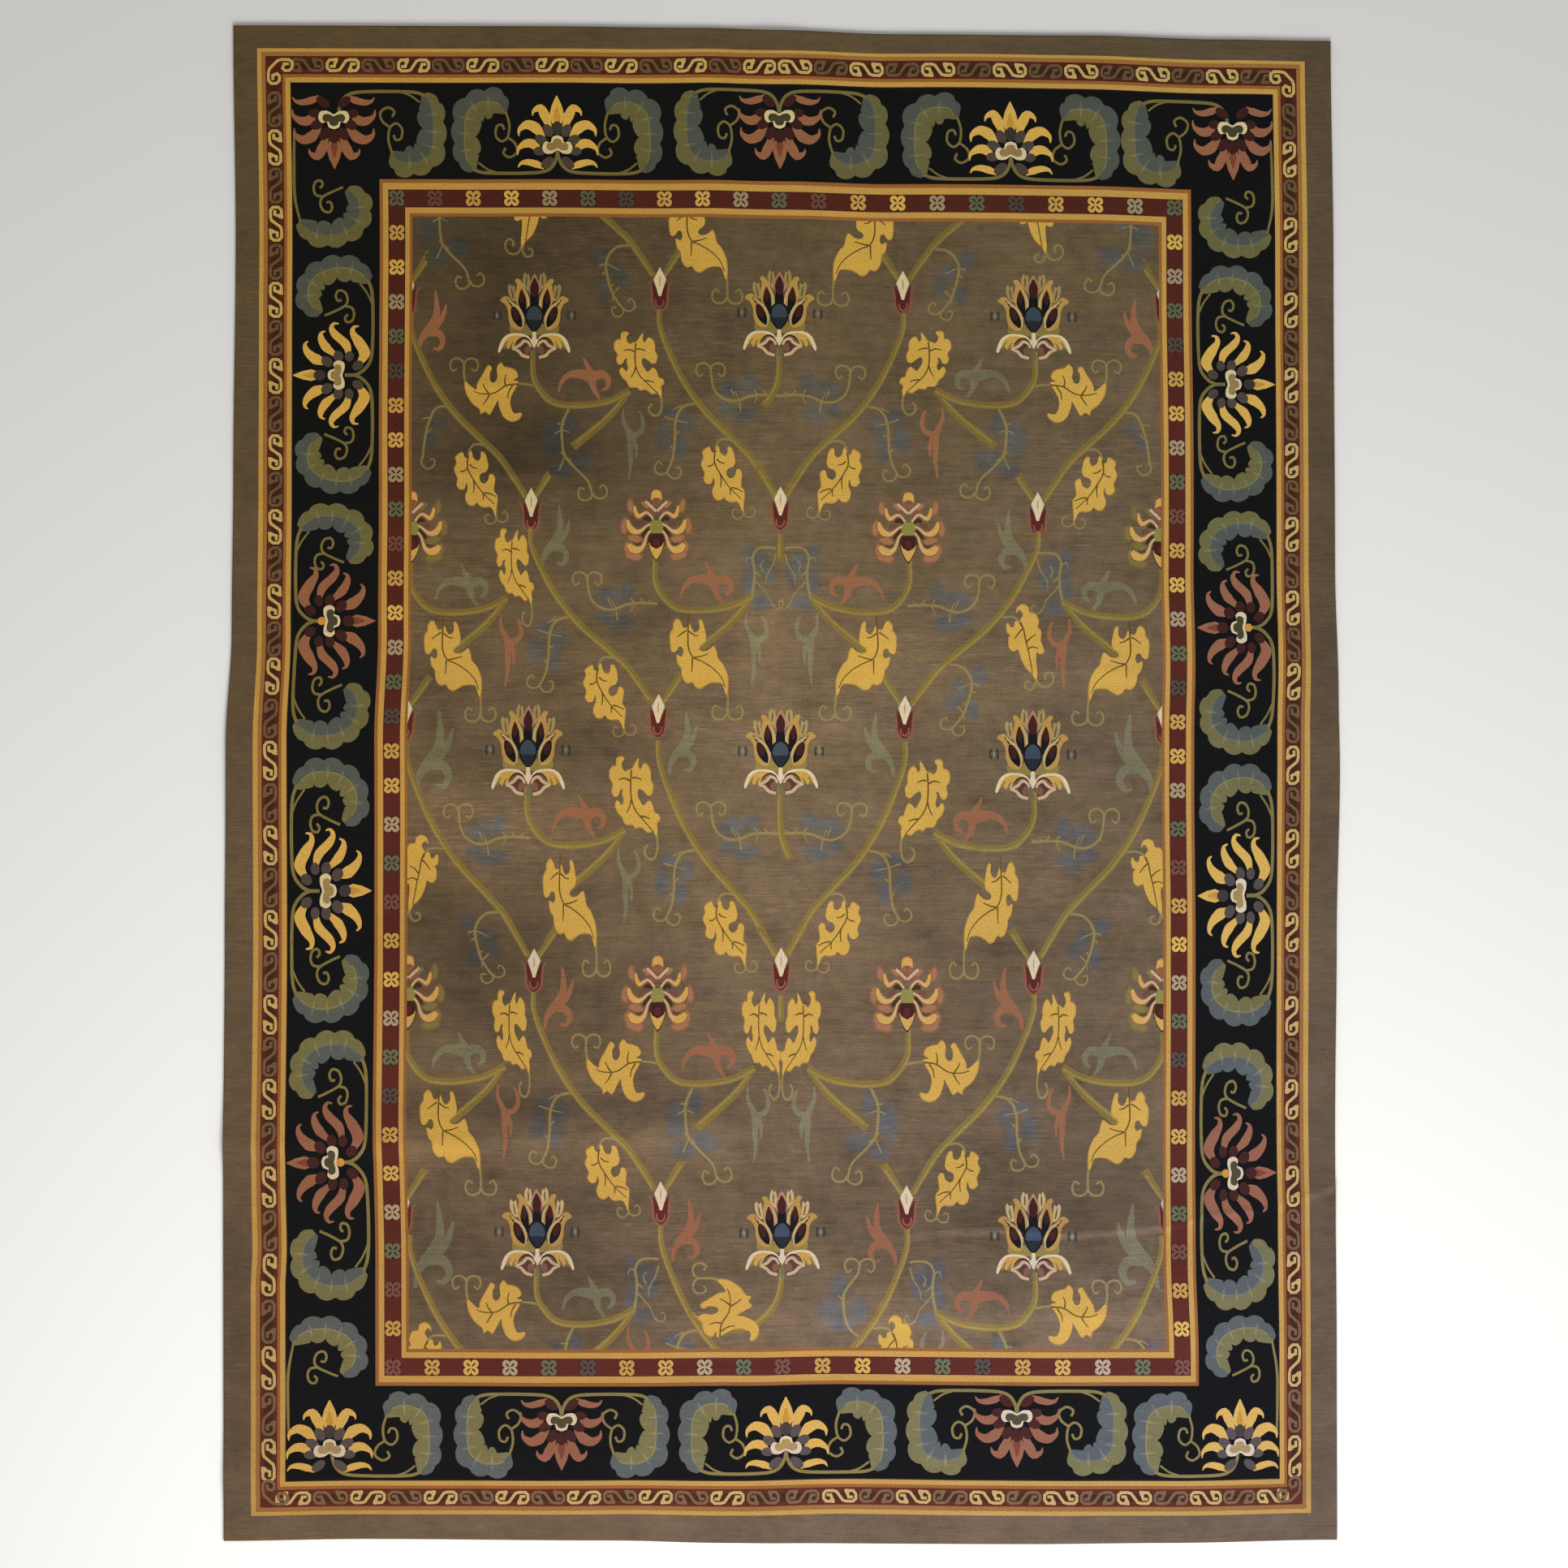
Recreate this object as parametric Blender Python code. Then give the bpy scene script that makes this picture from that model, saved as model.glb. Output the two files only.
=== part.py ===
"""Hand-knotted Tibetan rug, lying flat on the floor.

One piece of wool pile on a woven foundation, 9 ft wide and a little over 12 ft long.
The rug lies as a sheet of even thickness: its edges wander by a centimetre or two, and a few
soft folds left by storage lift it off the floor. Between the folds the underside is flat at Z = 0.
X runs across the rug, Y along it, Z up. The origin is under the middle of the rug, on the floor.
"""

import math

import bmesh
import bpy

# Driving dimensions, in metres
RUG_WIDTH = 2.74
RUG_LENGTH = 3.73
RUG_THICKNESS = 0.011
TOP_ROUNDING = 0.004
BOTTOM_ROUNDING = 0.002
ROUNDING_SEGMENTS = 2
CELLS_ACROSS = 46
CELLS_ALONG = 68
MM = 0.001

# How each edge wanders from the straight line: where along the edge, from -1 to 1, and how far out
# in millimetres. The long edges are read from the near end up, the short ones from left to right.
EDGE_WANDER = {
    "left": (
        # along, out_mm
        (-1.00, 13),
        (-0.50, 14),
        (-0.20, 10),
        (0.05, 7),
        (0.20, -7),
        (0.40, -11),
        (0.72, -17),
        (1.00, -11),
    ),
    "right": (
        (-1.00, 4),
        (-0.75, 3),
        (-0.45, -1),
        (-0.20, 3),
        (0.03, 11),
        (0.12, 8),
        (0.30, -1),
        (0.70, -5),
        (1.00, -12),
    ),
    "near": (
        (-1.00, 7),
        (-0.75, 2),
        (-0.30, 6),
        (-0.10, 12),
        (0.45, 15),
        (0.70, 12),
        (1.00, 4),
    ),
    "far": (
        (-1.00, 16),
        (-0.45, 14),
        (-0.15, 10),
        (0.00, 4),
        (0.20, -6),
        (0.55, -9),
        (0.80, -19),
        (1.00, -23),
    ),
}

# Folds: a straight crest from one end to the other, its height, how far the cloth rises to it on
# each side, and how long it takes to die out past each end. All in metres.
FOLDS = (
    # name, from_x, from_y, to_x, to_y, height, half_width, fade
    ("lengthwise middle", -0.03, -1.90, -0.02, 1.90, 0.0035, 0.11, 0.10),
    ("left of middle", -1.40, 0.08, -0.75, 0.02, 0.0060, 0.26, 0.30),
    ("left near", -1.40, -0.87, -0.30, -0.84, 0.0060, 0.13, 0.30),
    ("right narrow", 0.50, -1.11, 1.40, -1.02, 0.0045, 0.08, 0.15),
    ("near right", -0.10, -1.31, 0.98, -1.27, 0.0045, 0.16, 0.25),
    ("near edge", -1.40, -1.70, 0.10, -1.68, 0.0045, 0.12, 0.25),
    ("right of middle", 0.35, 0.30, 1.00, 0.27, 0.0030, 0.20, 0.30),
)


def smooth_between(rows, along):
    """The value at a place on an edge, eased from each row of the table to the next."""
    for (start, low), (end, high) in zip(rows, rows[1:]):
        if along <= end:
            share = min(max((along - start) / (end - start), 0.0), 1.0)
            eased = share * share * (3.0 - 2.0 * share)
            return low + (high - low) * eased
    return rows[-1][1]


def place_on_floor(across, along):
    """Where a point of the cloth lies, from its place across and along the rug, both -1 to 1."""
    left = -RUG_WIDTH / 2 - smooth_between(EDGE_WANDER["left"], along) * MM
    right = RUG_WIDTH / 2 + smooth_between(EDGE_WANDER["right"], along) * MM
    near = -RUG_LENGTH / 2 - smooth_between(EDGE_WANDER["near"], across) * MM
    far = RUG_LENGTH / 2 + smooth_between(EDGE_WANDER["far"], across) * MM
    x = left + (right - left) * (across + 1.0) / 2.0
    y = near + (far - near) * (along + 1.0) / 2.0
    return x, y


def hump(distance, reach):
    """1 at the crest, easing to exactly 0 at the reach and beyond."""
    if distance >= reach:
        return 0.0
    return 0.5 + 0.5 * math.cos(math.pi * distance / reach)


def lift_at(x, y):
    """How high the folds lift the cloth off the floor."""
    lift = 0.0
    for _name, from_x, from_y, to_x, to_y, height, half_width, fade in FOLDS:
        run_x, run_y = to_x - from_x, to_y - from_y
        run = math.hypot(run_x, run_y)
        along = ((x - from_x) * run_x + (y - from_y) * run_y) / run
        aside = abs((x - from_x) * run_y - (y - from_y) * run_x) / run
        past_end = max(-along, along - run, 0.0)
        lift = max(lift, height * hump(aside, half_width) * hump(past_end, fade))
    return lift


def rug_mesh():
    """The rug as one closed sheet: its underside laid out first, then raised to its top."""
    bm = bmesh.new()
    bmesh.ops.create_grid(bm, x_segments=CELLS_ACROSS, y_segments=CELLS_ALONG, size=1.0)
    for vert in bm.verts:
        x, y = place_on_floor(vert.co.x, vert.co.y)
        vert.co = (x, y, 0.0)
    mid_x = (max(v.co.x for v in bm.verts) + min(v.co.x for v in bm.verts)) / 2
    mid_y = (max(v.co.y for v in bm.verts) + min(v.co.y for v in bm.verts)) / 2
    for vert in bm.verts:
        x, y = vert.co.x - mid_x, vert.co.y - mid_y
        vert.co = (x, y, lift_at(x, y))

    raised = bmesh.ops.extrude_face_region(bm, geom=bm.faces[:])
    top = [item for item in raised["geom"] if isinstance(item, bmesh.types.BMVert)]
    bmesh.ops.translate(bm, verts=top, vec=(0.0, 0.0, RUG_THICKNESS))
    bmesh.ops.recalc_face_normals(bm, faces=bm.faces[:])

    walls = [face for face in bm.faces if abs(face.normal.z) < 0.5]
    top_set = set(top)
    wall_edges = {edge for face in walls for edge in face.edges}
    rims = {
        "top": [e for e in wall_edges if all(v in top_set for v in e.verts)],
        "bottom": [e for e in wall_edges if not any(v in top_set for v in e.verts)],
    }
    for name, rounding in (("top", TOP_ROUNDING), ("bottom", BOTTOM_ROUNDING)):
        bmesh.ops.bevel(
            bm,
            geom=rims[name],
            offset=rounding,
            offset_type="OFFSET",
            segments=ROUNDING_SEGMENTS,
            profile=0.5,
            affect="EDGES",
        )
    mesh = bpy.data.meshes.new("rug")
    bm.to_mesh(mesh)
    bm.free()
    return mesh


def wool_material():
    """Brown knotted wool, with no gloss."""
    material = bpy.data.materials.new("knotted wool")
    material.use_nodes = True
    shader = material.node_tree.nodes["Principled BSDF"]
    shader.inputs["Base Color"].default_value = (0.105, 0.083, 0.056, 1.0)
    shader.inputs["Roughness"].default_value = 0.95
    shader.inputs["Metallic"].default_value = 0.0
    return material


def build():
    for old in list(bpy.context.scene.objects):
        bpy.data.objects.remove(old, do_unlink=True)
    rug = bpy.data.objects.new("rug", rug_mesh())
    rug.data.materials.append(wool_material())
    bpy.context.collection.objects.link(rug)


build()
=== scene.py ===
import math
import time

import bpy
import numpy as np
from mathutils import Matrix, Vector
from mathutils.geometry import delaunay_2d_cdt


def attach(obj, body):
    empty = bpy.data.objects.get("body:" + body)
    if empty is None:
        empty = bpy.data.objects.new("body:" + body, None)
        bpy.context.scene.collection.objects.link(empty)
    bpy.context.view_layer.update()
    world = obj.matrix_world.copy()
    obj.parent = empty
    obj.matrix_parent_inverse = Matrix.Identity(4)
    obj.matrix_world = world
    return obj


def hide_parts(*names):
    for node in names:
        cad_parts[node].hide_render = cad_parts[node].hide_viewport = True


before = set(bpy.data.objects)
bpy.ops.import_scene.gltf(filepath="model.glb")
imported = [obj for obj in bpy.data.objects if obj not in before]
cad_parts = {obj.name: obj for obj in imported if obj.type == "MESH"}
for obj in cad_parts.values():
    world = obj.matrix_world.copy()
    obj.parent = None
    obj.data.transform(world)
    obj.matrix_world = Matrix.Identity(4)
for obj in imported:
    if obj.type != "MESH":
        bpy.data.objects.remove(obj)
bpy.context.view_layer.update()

# the cloth has the same sizes, edges and folds as the solid that it stands for
rug = {
    "width": 2.74,
    "length": 3.73,
    "thickness": 0.011,
    "backing": 0.003,     # knots' backs and wefts under the pile
    "sunk": 0.0004,       # how far the pile is rooted in the backing
    "topRounding": 0.004,
    "bottomRounding": 0.002,
    "topCell": 26.0,      # mm between points that follow the folds
    "backCell": 60.0,
}
halfWide = rug["width"] * 500   # half sizes on the loom, mm
halfLong = rug["length"] * 500
rounding = rug["topRounding"] * 1000

edgeWander = {  # (place along the edge from -1 to 1, mm outwards)
    "left": ((-1.00, 13), (-0.50, 14), (-0.20, 10), (0.05, 7), (0.20, -7), (0.40, -11), (0.72, -17),
             (1.00, -11)),
    "right": ((-1.00, 4), (-0.75, 3), (-0.45, -1), (-0.20, 3), (0.03, 11), (0.12, 8), (0.30, -1), (0.70, -5),
              (1.00, -12)),
    "near": ((-1.00, 7), (-0.75, 2), (-0.30, 6), (-0.10, 12), (0.45, 15), (0.70, 12), (1.00, 4)),
    "far": ((-1.00, 16), (-0.45, 14), (-0.15, 10), (0.00, 4), (0.20, -6), (0.55, -9), (0.80, -19),
            (1.00, -23)),
}
folds = (  # fromX, fromY, toX, toY, height, half width, fade, all in metres
    (-0.03, -1.90, -0.02, 1.90, 0.0035, 0.11, 0.10),
    (-1.40, 0.08, -0.75, 0.02, 0.0060, 0.26, 0.30),
    (-1.40, -0.87, -0.30, -0.84, 0.0060, 0.13, 0.30),
    (0.50, -1.11, 1.40, -1.02, 0.0045, 0.08, 0.15),
    (-0.10, -1.31, 0.98, -1.27, 0.0045, 0.16, 0.25),
    (-1.40, -1.70, 0.10, -1.68, 0.0045, 0.12, 0.25),
    (0.35, 0.30, 1.00, 0.27, 0.0030, 0.20, 0.30),
)
# narrow ridges pressed in by folding: height, half width, how strong the painted highlight along the top is,
# the line, in metres
creases = (
    (0.0046, 0.017, 0.40, ((0.26, -1.127), (0.40, -1.106), (0.56, -1.104), (0.72, -1.115), (0.96, -1.095),
                           (1.04, -1.071), (1.20, -1.051), (1.28, -1.027), (1.40, -0.985))),
    (0.0050, 0.042, 0.14, ((-1.40, -0.895), (-0.95, -0.893), (-0.60, -0.880), (-0.30, -0.862),
                           (-0.02, -0.835))),
    (0.0020, 0.022, 0.08, ((-0.95, 0.990), (-0.62, 0.985))),
    (0.0018, 0.020, 0.06, ((-0.95, 0.770), (-0.45, 0.762))),
    (0.0030, 0.030, 0.12, ((-0.10, -1.318), (0.30, -1.325), (0.70, -1.322), (0.98, -1.308))),
    (0.0022, 0.025, 0.10, ((-1.40, -1.715), (-1.05, -1.712))),
    (0.0022, 0.025, 0.10, ((0.30, 0.292), (0.62, 0.285), (0.98, 0.270))),
    (0.0020, 0.024, 0.06, ((-0.95, 0.068), (-0.45, 0.060))),
)
creaseRise = 0.2   # share of its length over which a crease rises to its height
# broad patches of painted light and shade, paler or darker, where the pile lies over and the folds catch the
# lamp: middle, half size, by how much
paintedShadingPatches = (
    (-0.72, 1.16, 0.38, 0.38, -0.46), (-0.50, 1.38, 0.40, 0.12, -0.16), (-0.20, 1.18, 0.30, 0.22, -0.12),
    (-0.66, 0.80, 0.36, 0.12, -0.38), (0.02, 0.34, 0.22, 0.42, 0.36), (0.34, 0.30, 0.36, 0.22, 0.16),
    (-0.74, -0.10, 0.17, 0.10, 0.30), (-0.80, -0.40, 0.24, 0.20, -0.36), (-0.52, -0.55, 0.30, 0.16, -0.22),
    (0.22, -0.20, 0.20, 0.46, 0.10), (-0.62, 0.08, 0.30, 0.06, -0.16), (-0.10, -0.25, 0.26, 0.34, 0.20),
    (-0.62, -0.80, 0.50, 0.05, -0.34), (-0.62, -1.20, 0.46, 0.26, -0.36), (-0.20, -0.92, 0.26, 0.07, 0.12),
    (0.62, -1.05, 0.46, 0.18, -0.40), (0.62, -0.55, 0.36, 0.20, -0.14), (0.45, -1.345, 0.62, 0.06, 0.16),
    (0.10, -1.84, 0.90, 0.06, 0.05), (-1.34, -1.45, 0.06, 0.50, -0.28), (1.33, -1.40, 0.06, 0.60, -0.24),
    (1.34, 0.55, 0.06, 0.80, -0.18), (0.20, 1.84, 0.60, 0.08, 0.10), (0.60, 0.62, 0.40, 0.30, 0.04),
    (-0.85, 0.30, 0.20, 0.30, -0.10),
)


def easedBetween(rows, along):
    at, out = np.array(rows, float).T
    along = np.clip(along, at[0], at[-1])
    row = np.clip(np.searchsorted(at, along) - 1, 0, len(at) - 2)
    share = (along - at[row]) / (at[row + 1] - at[row])
    return out[row] + (out[row + 1] - out[row]) * share * share * (3 - 2 * share)


def unshifted(u, v):
    across, along = u / halfWide, v / halfLong
    left = -rug["width"] / 2 - easedBetween(edgeWander["left"], along) * 0.001
    right = rug["width"] / 2 + easedBetween(edgeWander["right"], along) * 0.001
    near = -rug["length"] / 2 - easedBetween(edgeWander["near"], across) * 0.001
    far = rug["length"] / 2 + easedBetween(edgeWander["far"], across) * 0.001
    return left + (right - left) * (across + 1) / 2, near + (far - near) * (along + 1) / 2


def rugMiddle():
    along = np.linspace(-1, 1, 400)
    sides = [unshifted(side * halfWide, along * halfLong)[0] for side in (-1, 1)]
    ends = [unshifted(along * halfWide, end * halfLong)[1] for end in (-1, 1)]
    return [(np.min(pair) + np.max(pair)) / 2 for pair in (sides, ends)]


midX, midY = rugMiddle()

# how far the woven bands stray from the straight frame: (place along, mm to the right or the far end)
bandDrift = {
    "left": ((-1240, 0), (-1140, 5), (-980, 2), (-370, 3), (0, -1), (430, -5), (840, -6), (1240, -10)),
    "middle": ((-1094, 6), (-428, 1), (84, -6), (690, -9), (1146, -13)),
    "leftInner": ((-1180, 12), (-770, 5), (-370, 5), (430, 0), (1240, -3)),
    "rightInner": ((-1420, 27), (-1180, 20), (-770, 21), (-370, 18), (30, 7), (430, 13), (840, 14),
                   (1240, 10)),
    "right": ((-1180, 4), (-370, -2), (30, -7), (430, 2), (1240, 3)),
    "near": ((-980, -5), (-690, -3), (-130, 3), (170, 10), (470, 7), (980, 3)),
    "nearInner": ((-980, -9), (-690, -8), (-410, -7), (-130, 1), (170, 7), (980, 3)),
    "farInner": ((-980, 8), (-410, 9), (-130, 12), (470, 16), (980, 12)),
    "far": ((-980, 11), (-410, 13), (-130, 17), (170, 20), (470, 22), (980, 17)),
}
driftKnots = {  # where each drift holds, mm from the middle of the loom; the rims keep their place
    "across": {"left": -1290, "leftInner": -965, "middle": 0, "rightInner": 965, "right": 1290},
    "along": {"near": -1785, "nearInner": -1450, "farInner": 1450, "far": 1785},
}


def drifted(place, along, knots, rim):
    at = np.array([-rim, *knots.values(), rim])
    still = np.zeros_like(place)
    drift = np.array([still, *(easedBetween(bandDrift[name], along) for name in knots), still])
    row = np.clip(np.searchsorted(at, place) - 1, 0, len(at) - 2)
    share = np.clip((place - at[row]) / (at[row + 1] - at[row]), 0, 1)
    here = np.arange(len(place))
    return place + drift[row, here] * (1 - share) + drift[row + 1, here] * share


def woven(u, v):
    return (drifted(u, v, driftKnots["across"], halfWide - rounding),
            drifted(v, u, driftKnots["along"], halfLong - rounding))


def onFloor(u, v):
    x, y = unshifted(*woven(np.asarray(u, float), np.asarray(v, float)))
    return x - midX, y - midY


def hump(distance, reach):
    return np.where(distance < reach, 0.5 + 0.5 * np.cos(np.pi * np.minimum(distance, reach) / reach), 0.0)


def liftAt(x, y):
    lift = np.zeros_like(x)
    for fromX, fromY, toX, toY, height, halfWidth, fade in folds:
        runX, runY = toX - fromX, toY - fromY
        run = math.hypot(runX, runY)
        along = ((x - fromX) * runX + (y - fromY) * runY) / run
        aside = np.abs((x - fromX) * runY - (y - fromY) * runX) / run
        pastEnd = np.maximum(np.maximum(-along, along - run), 0)
        lift = np.maximum(lift, height * hump(aside, halfWidth) * hump(pastEnd, fade))
    ridges = [height * onCrease(x, y, halfWidth, line) for height, halfWidth, crestHighlight, line in creases]
    return lift + sum(ridges)


def onCrease(x, y, halfWidth, line):
    # 1 along the top of a crease, 0 beyond its foot, lower towards its ends
    line = np.array(line)
    best, share = np.full(np.shape(x), 9.0), np.zeros(np.shape(x))
    for k, (a, b) in enumerate(zip(line[:-1], line[1:])):
        run = b - a
        along = np.clip(((x - a[0]) * run[0] + (y - a[1]) * run[1]) / (run @ run), 0, 1)
        away = np.hypot(x - a[0] - along * run[0], y - a[1] - along * run[1])
        share = np.where(away < best, (k + along) / (len(line) - 1), share)
        best = np.minimum(best, away)
    taper = 1.0
    for end, fromEnd in ((line[0], share), (line[-1], 1 - share)):
        if abs(end[0]) < rug["width"] / 2:   # a crease that runs off the rug keeps its height there
            taper = taper * np.clip(fromEnd / creaseRise, 0, 1)
    return hump(best, halfWidth) * taper


# painted light and shade on the pile: the broad patches, and a painted highlight along each crease's top
def paintedShadingAt(x, y):
    shade = np.ones_like(x)
    for atX, atY, wide, tall, change in paintedShadingPatches:
        shade += change * np.exp(-((x - atX) / wide) ** 2 - ((y - atY) / tall) ** 2)
    # painted highlight along the top of each crease
    for height, halfWidth, crestHighlight, line in creases:
        shade += crestHighlight * onCrease(x, y, halfWidth, line)
    return shade


def onLoom(x, y):
    # the loom place that came to lie at x, y, found by a few corrections
    u, v = x * 1000, y * 1000
    for _ in range(4):
        nowX, nowY = onFloor(u, v)
        u, v = u + (x - nowX) * 1000, v + (y - nowY) * 1000
    return u, v


def creaseRows():
    # rows of points along every crease, so that the mesh bends there
    rows = []
    for height, halfWidth, crestHighlight, line in creases:
        line = np.array(line)
        for a, b in zip(line[:-1], line[1:]):
            run = b - a
            length = math.hypot(*run)
            aside = np.array([-run[1], run[0]]) / length
            for share in np.arange(0, 1, 0.6 * halfWidth / length):
                for out in (-1.05, -0.7, -0.35, 0, 0.35, 0.7, 1.05):
                    rows.append(a + run * share + aside * out * halfWidth)
    rows = np.array(rows)
    return np.stack(onLoom(rows[:, 0], rows[:, 1]), 1)


def slopeNormals(x, y):
    step = 0.004
    dx = (liftAt(x + step, y) - liftAt(x - step, y)) / (2 * step)
    dy = (liftAt(x, y + step) - liftAt(x, y - step)) / (2 * step)
    normals = np.stack([-dx, -dy, np.ones_like(dx)], 1)
    return normals / np.linalg.norm(normals, axis=1)[:, None]


wools = {  # the dyed wools, as they look in daylight
    "ground": "#67553f",
    "edge": "#5f4e3a",
    "navy": "#0b0b0c",
    "seam": "#241b12",
    "gold": "#c2964c",
    "ochre": "#9a6c38",
    "orange": "#97602f",
    "maroon": "#51231a",
    "hookGround": "#3a2113",
    "hookBright": "#c6a665",
    "hookDim": "#6a5137",
    "yellow": "#d5a953",
    "yellowDeep": "#c19037",
    "yellowPale": "#cda153",
    "leafGold": "#cea34a",
    "leafShade": "#ac823b",
    "leafVein": "#5f4a20",
    "mauve": "#4c423c",
    "mauveDark": "#3b3230",
    "mauveRose": "#6b4438",
    "rust": "#956147",
    "rustDark": "#7c4230",
    "rustSoft": "#80513b",
    "rustPink": "#85503f",
    "glowWarm": "#8a5736",
    "oliveGlow": "#6e5a38",
    "plum": "#3c1d1a",
    "maroonBud": "#54231f",
    "cream": "#d8c4a0",
    "pinkCream": "#c8a886",
    "tan": "#937b4b",
    "beige": "#a08a6c",
    "drop": "#54352a",
    "dropInner": "#735240",
    "amber": "#c9913c",
    "stem": "#76683a",
    "stemLight": "#85803f",
    "peach": "#a0704e",
    "peachDark": "#7d563c",
    "oliveBlush": "#7a6a3a",
    "bough": "#7a6632",
    "boughLight": "#8a763f",
    "tendril": "#857548",
    "olive": "#6a643f",
    "oliveRib": "#7d754a",
    "oliveSoft": "#85733c",
    "oliveDark": "#47412b",
    "blueGrey": "#50544f",
    "blueGreyRib": "#65675a",
    "dome": "#3a4450",
    "domeDark": "#22262c",
    "black": "#141214",
    "brownDark": "#3f2d1a",
    "flameEdge": "#b58d4a",
    "flamePale": "#bfa678",
    "wingGold": "#c39a4d",
    "coral": "#966345",
    "sage": "#726c50",
    "sageGrey": "#5d6047",
    "shadow": "#585550",
    "shadowEdge": "#605447",
    "crossDark": "#38352f",
    "crossLight": "#7d7d68",
    "crown": "#9a8554",
    "crownDark": "#5d4c34",
    "crownRose": "#a8745a",
    "crownPale": "#c4a873",
    "rosetteSeam": "#33150f",
    "backing": "#8f8068",
    "pileRoots": "#3a3128",
}
# how much each wool streaks along the rows and takes the painted light and shade: the fast bright dyes least
plainAbrash, fastAbrash = 0.35, 0.2
abrashOf = {"ground": 1.0, "shadow": 1.0, "shadowEdge": 1.0, "edge": 0.7, "navy": 0.5, "sage": 0.7}
fastWools = ("gold", "ochre", "orange", "hookBright", "yellow", "yellowDeep", "yellowPale", "leafGold",
             "leafShade", "rust", "rustDark", "cream", "pinkCream", "amber", "flameEdge", "flamePale",
             "wingGold", "coral", "crownPale", "peach")
abrashOf.update({name: fastAbrash for name in fastWools})


def linear(hexCode):
    parts = [int(hexCode[i:i + 2], 16) / 255 for i in (1, 3, 5)]
    return [p / 12.92 if p <= 0.04045 else ((p + 0.055) / 1.055) ** 2.4 for p in parts]


woolNames = list(wools)
woolColours = np.array([linear(wools[name]) + [1.0] for name in woolNames])
woolAbrashAndShading = np.array([abrashOf.get(name, plainAbrash) for name in woolNames])


# all drawing is on the loom, in mm: u across the rug, v along it
def smooth(points, closed=True, gap=4.0):
    points = np.array(points, float)
    count = len(points)
    if closed:
        at = [points[(np.arange(count) + k) % count] for k in (-1, 0, 1, 2)]
    else:
        ends = np.vstack([2 * points[0] - points[1], points, 2 * points[-1] - points[-2]])
        at = [ends[k:count - 1 + k] for k in range(4)]
    out, place = [], []
    for i, (a, b, c, d) in enumerate(zip(*at)):
        steps = max(2, int(round(np.hypot(*(c - b)) / gap)))
        t = (np.arange(steps) / steps)[:, None]
        out.append(0.5 * (2 * b + (c - a) * t + (2 * a - 5 * b + 4 * c - d) * t ** 2
                          + (3 * b - a - 3 * c + d) * t ** 3))
        place.append(i + t[:, 0])
    if not closed:
        out.append(points[-1:])
        place.append([count - 1])
    return np.vstack(out), np.concatenate(place)


def blob(points, gap=4.0):
    return smooth(points, True, gap)[0]


def ribbon(path, widths, gap=5.0):
    line, place = smooth(path, False, gap)
    if np.isscalar(widths):
        widths = [widths] * len(path)
    half = np.interp(place, np.linspace(0, len(path) - 1, len(widths)), widths) / 2
    way = np.gradient(line, axis=0)
    way /= np.maximum(np.hypot(way[:, 0], way[:, 1]), 1e-9)[:, None]
    aside = np.stack([-way[:, 1], way[:, 0]], 1) * half[:, None]
    return np.vstack([line + aside, (line - aside)[::-1]])


def oval(x, y, wide, tall, turn=0.0, count=14):
    angle = np.arange(count) * 2 * np.pi / count
    return placed(np.stack([np.cos(angle) * wide / 2, np.sin(angle) * tall / 2], 1), x, y, turn)


def placed(points, x=0.0, y=0.0, turn=0.0, wide=1.0, tall=1.0):
    c, s = math.cos(math.radians(turn)), math.sin(math.radians(turn))
    px, py = np.array(points, float).T
    px, py = px * wide, py * tall
    return np.stack([x + px * c - py * s, y + px * s + py * c], 1)


def flipped(motif):
    return [(wool, np.array(points) * (-1, 1)) for wool, points in motif]


def mirrored(motif):
    return motif + flipped(motif)


def put(art, motif, x=0.0, y=0.0, turn=0.0, wide=1.0, tall=1.0):
    art.extend((wool, placed(points, x, y, turn, wide, tall)) for wool, points in motif)


def frameOf(insetSide, insetEnd):
    u, v = halfWide - insetSide, halfLong - insetEnd
    return np.array([(-u, -v), (u, -v), (u, v), (-u, v)])


def divided(points, gap=25.0):
    out = []
    for a, b in zip(points, np.roll(points, -1, 0)):
        steps = max(1, int(math.ceil(np.hypot(*(b - a)) / gap)))
        out.append(a + (b - a) * (np.arange(steps) / steps)[:, None])
    return np.vstack(out)


# the main border: lotus flowers between curled cloud leaves
border = {
    "outer": (150, 151),   # inset of the navy band from the rug's sides and ends
    "inner": (364, 387),
    "seam": 3,             # dark edge round the navy
    "stem": 8.0,
    "curl": 6.0,
    "heartIn": -1120,      # across the loom, the hearts of the flowers whose tips point inwards
    "heartOut": -1110,
    "leafLine": -1125,     # and where the corners' long leaves start
}

uprightFlower = {  # across the end borders; petals as path and widths, mm from the flower's heart
    "tip": (((0, 46), (0, 70), (0, 96), (0, 121)), (16, 39, 26, 2)),
    "petals": (
        (((-20, 44), (-30, 72), (-42, 90), (-58, 84), (-62, 72)), (14, 25, 21, 9, 2)),
        (((-36, 18), (-54, 42), (-76, 50), (-95, 38), (-97, 22)), (14, 27, 22, 10, 2)),
        (((-44, -14), (-62, 3), (-80, 4), (-98, -8), (-101, -24)), (14, 23, 20, 9, 2)),
        (((-34, -54), (-54, -46), (-76, -41), (-93, -44), (-100, -54)), (10, 18, 15, 8, 2)),
    ),
    "lobes": ((0, 42, 26, 34, 0), (-23, 36, 24, 34, 32), (-41, 13, 24, 34, 62), (-45, -14, 22, 32, 92),
              (-26, -42, 22, 38, 128)),
    "heart": ((0, 24), (13, 19), (17, 7), (30, 9), (38, -4), (32, -19), (14, -20), (0, -12)),
    "stem": ((0, -14), (4, -34), (16, -54), (40, -65), (90, -68), (150, -68), (190, -66), (214, -58)),
    "twig": ((150, -68), (178, -58), (200, -42)),
}
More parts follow.
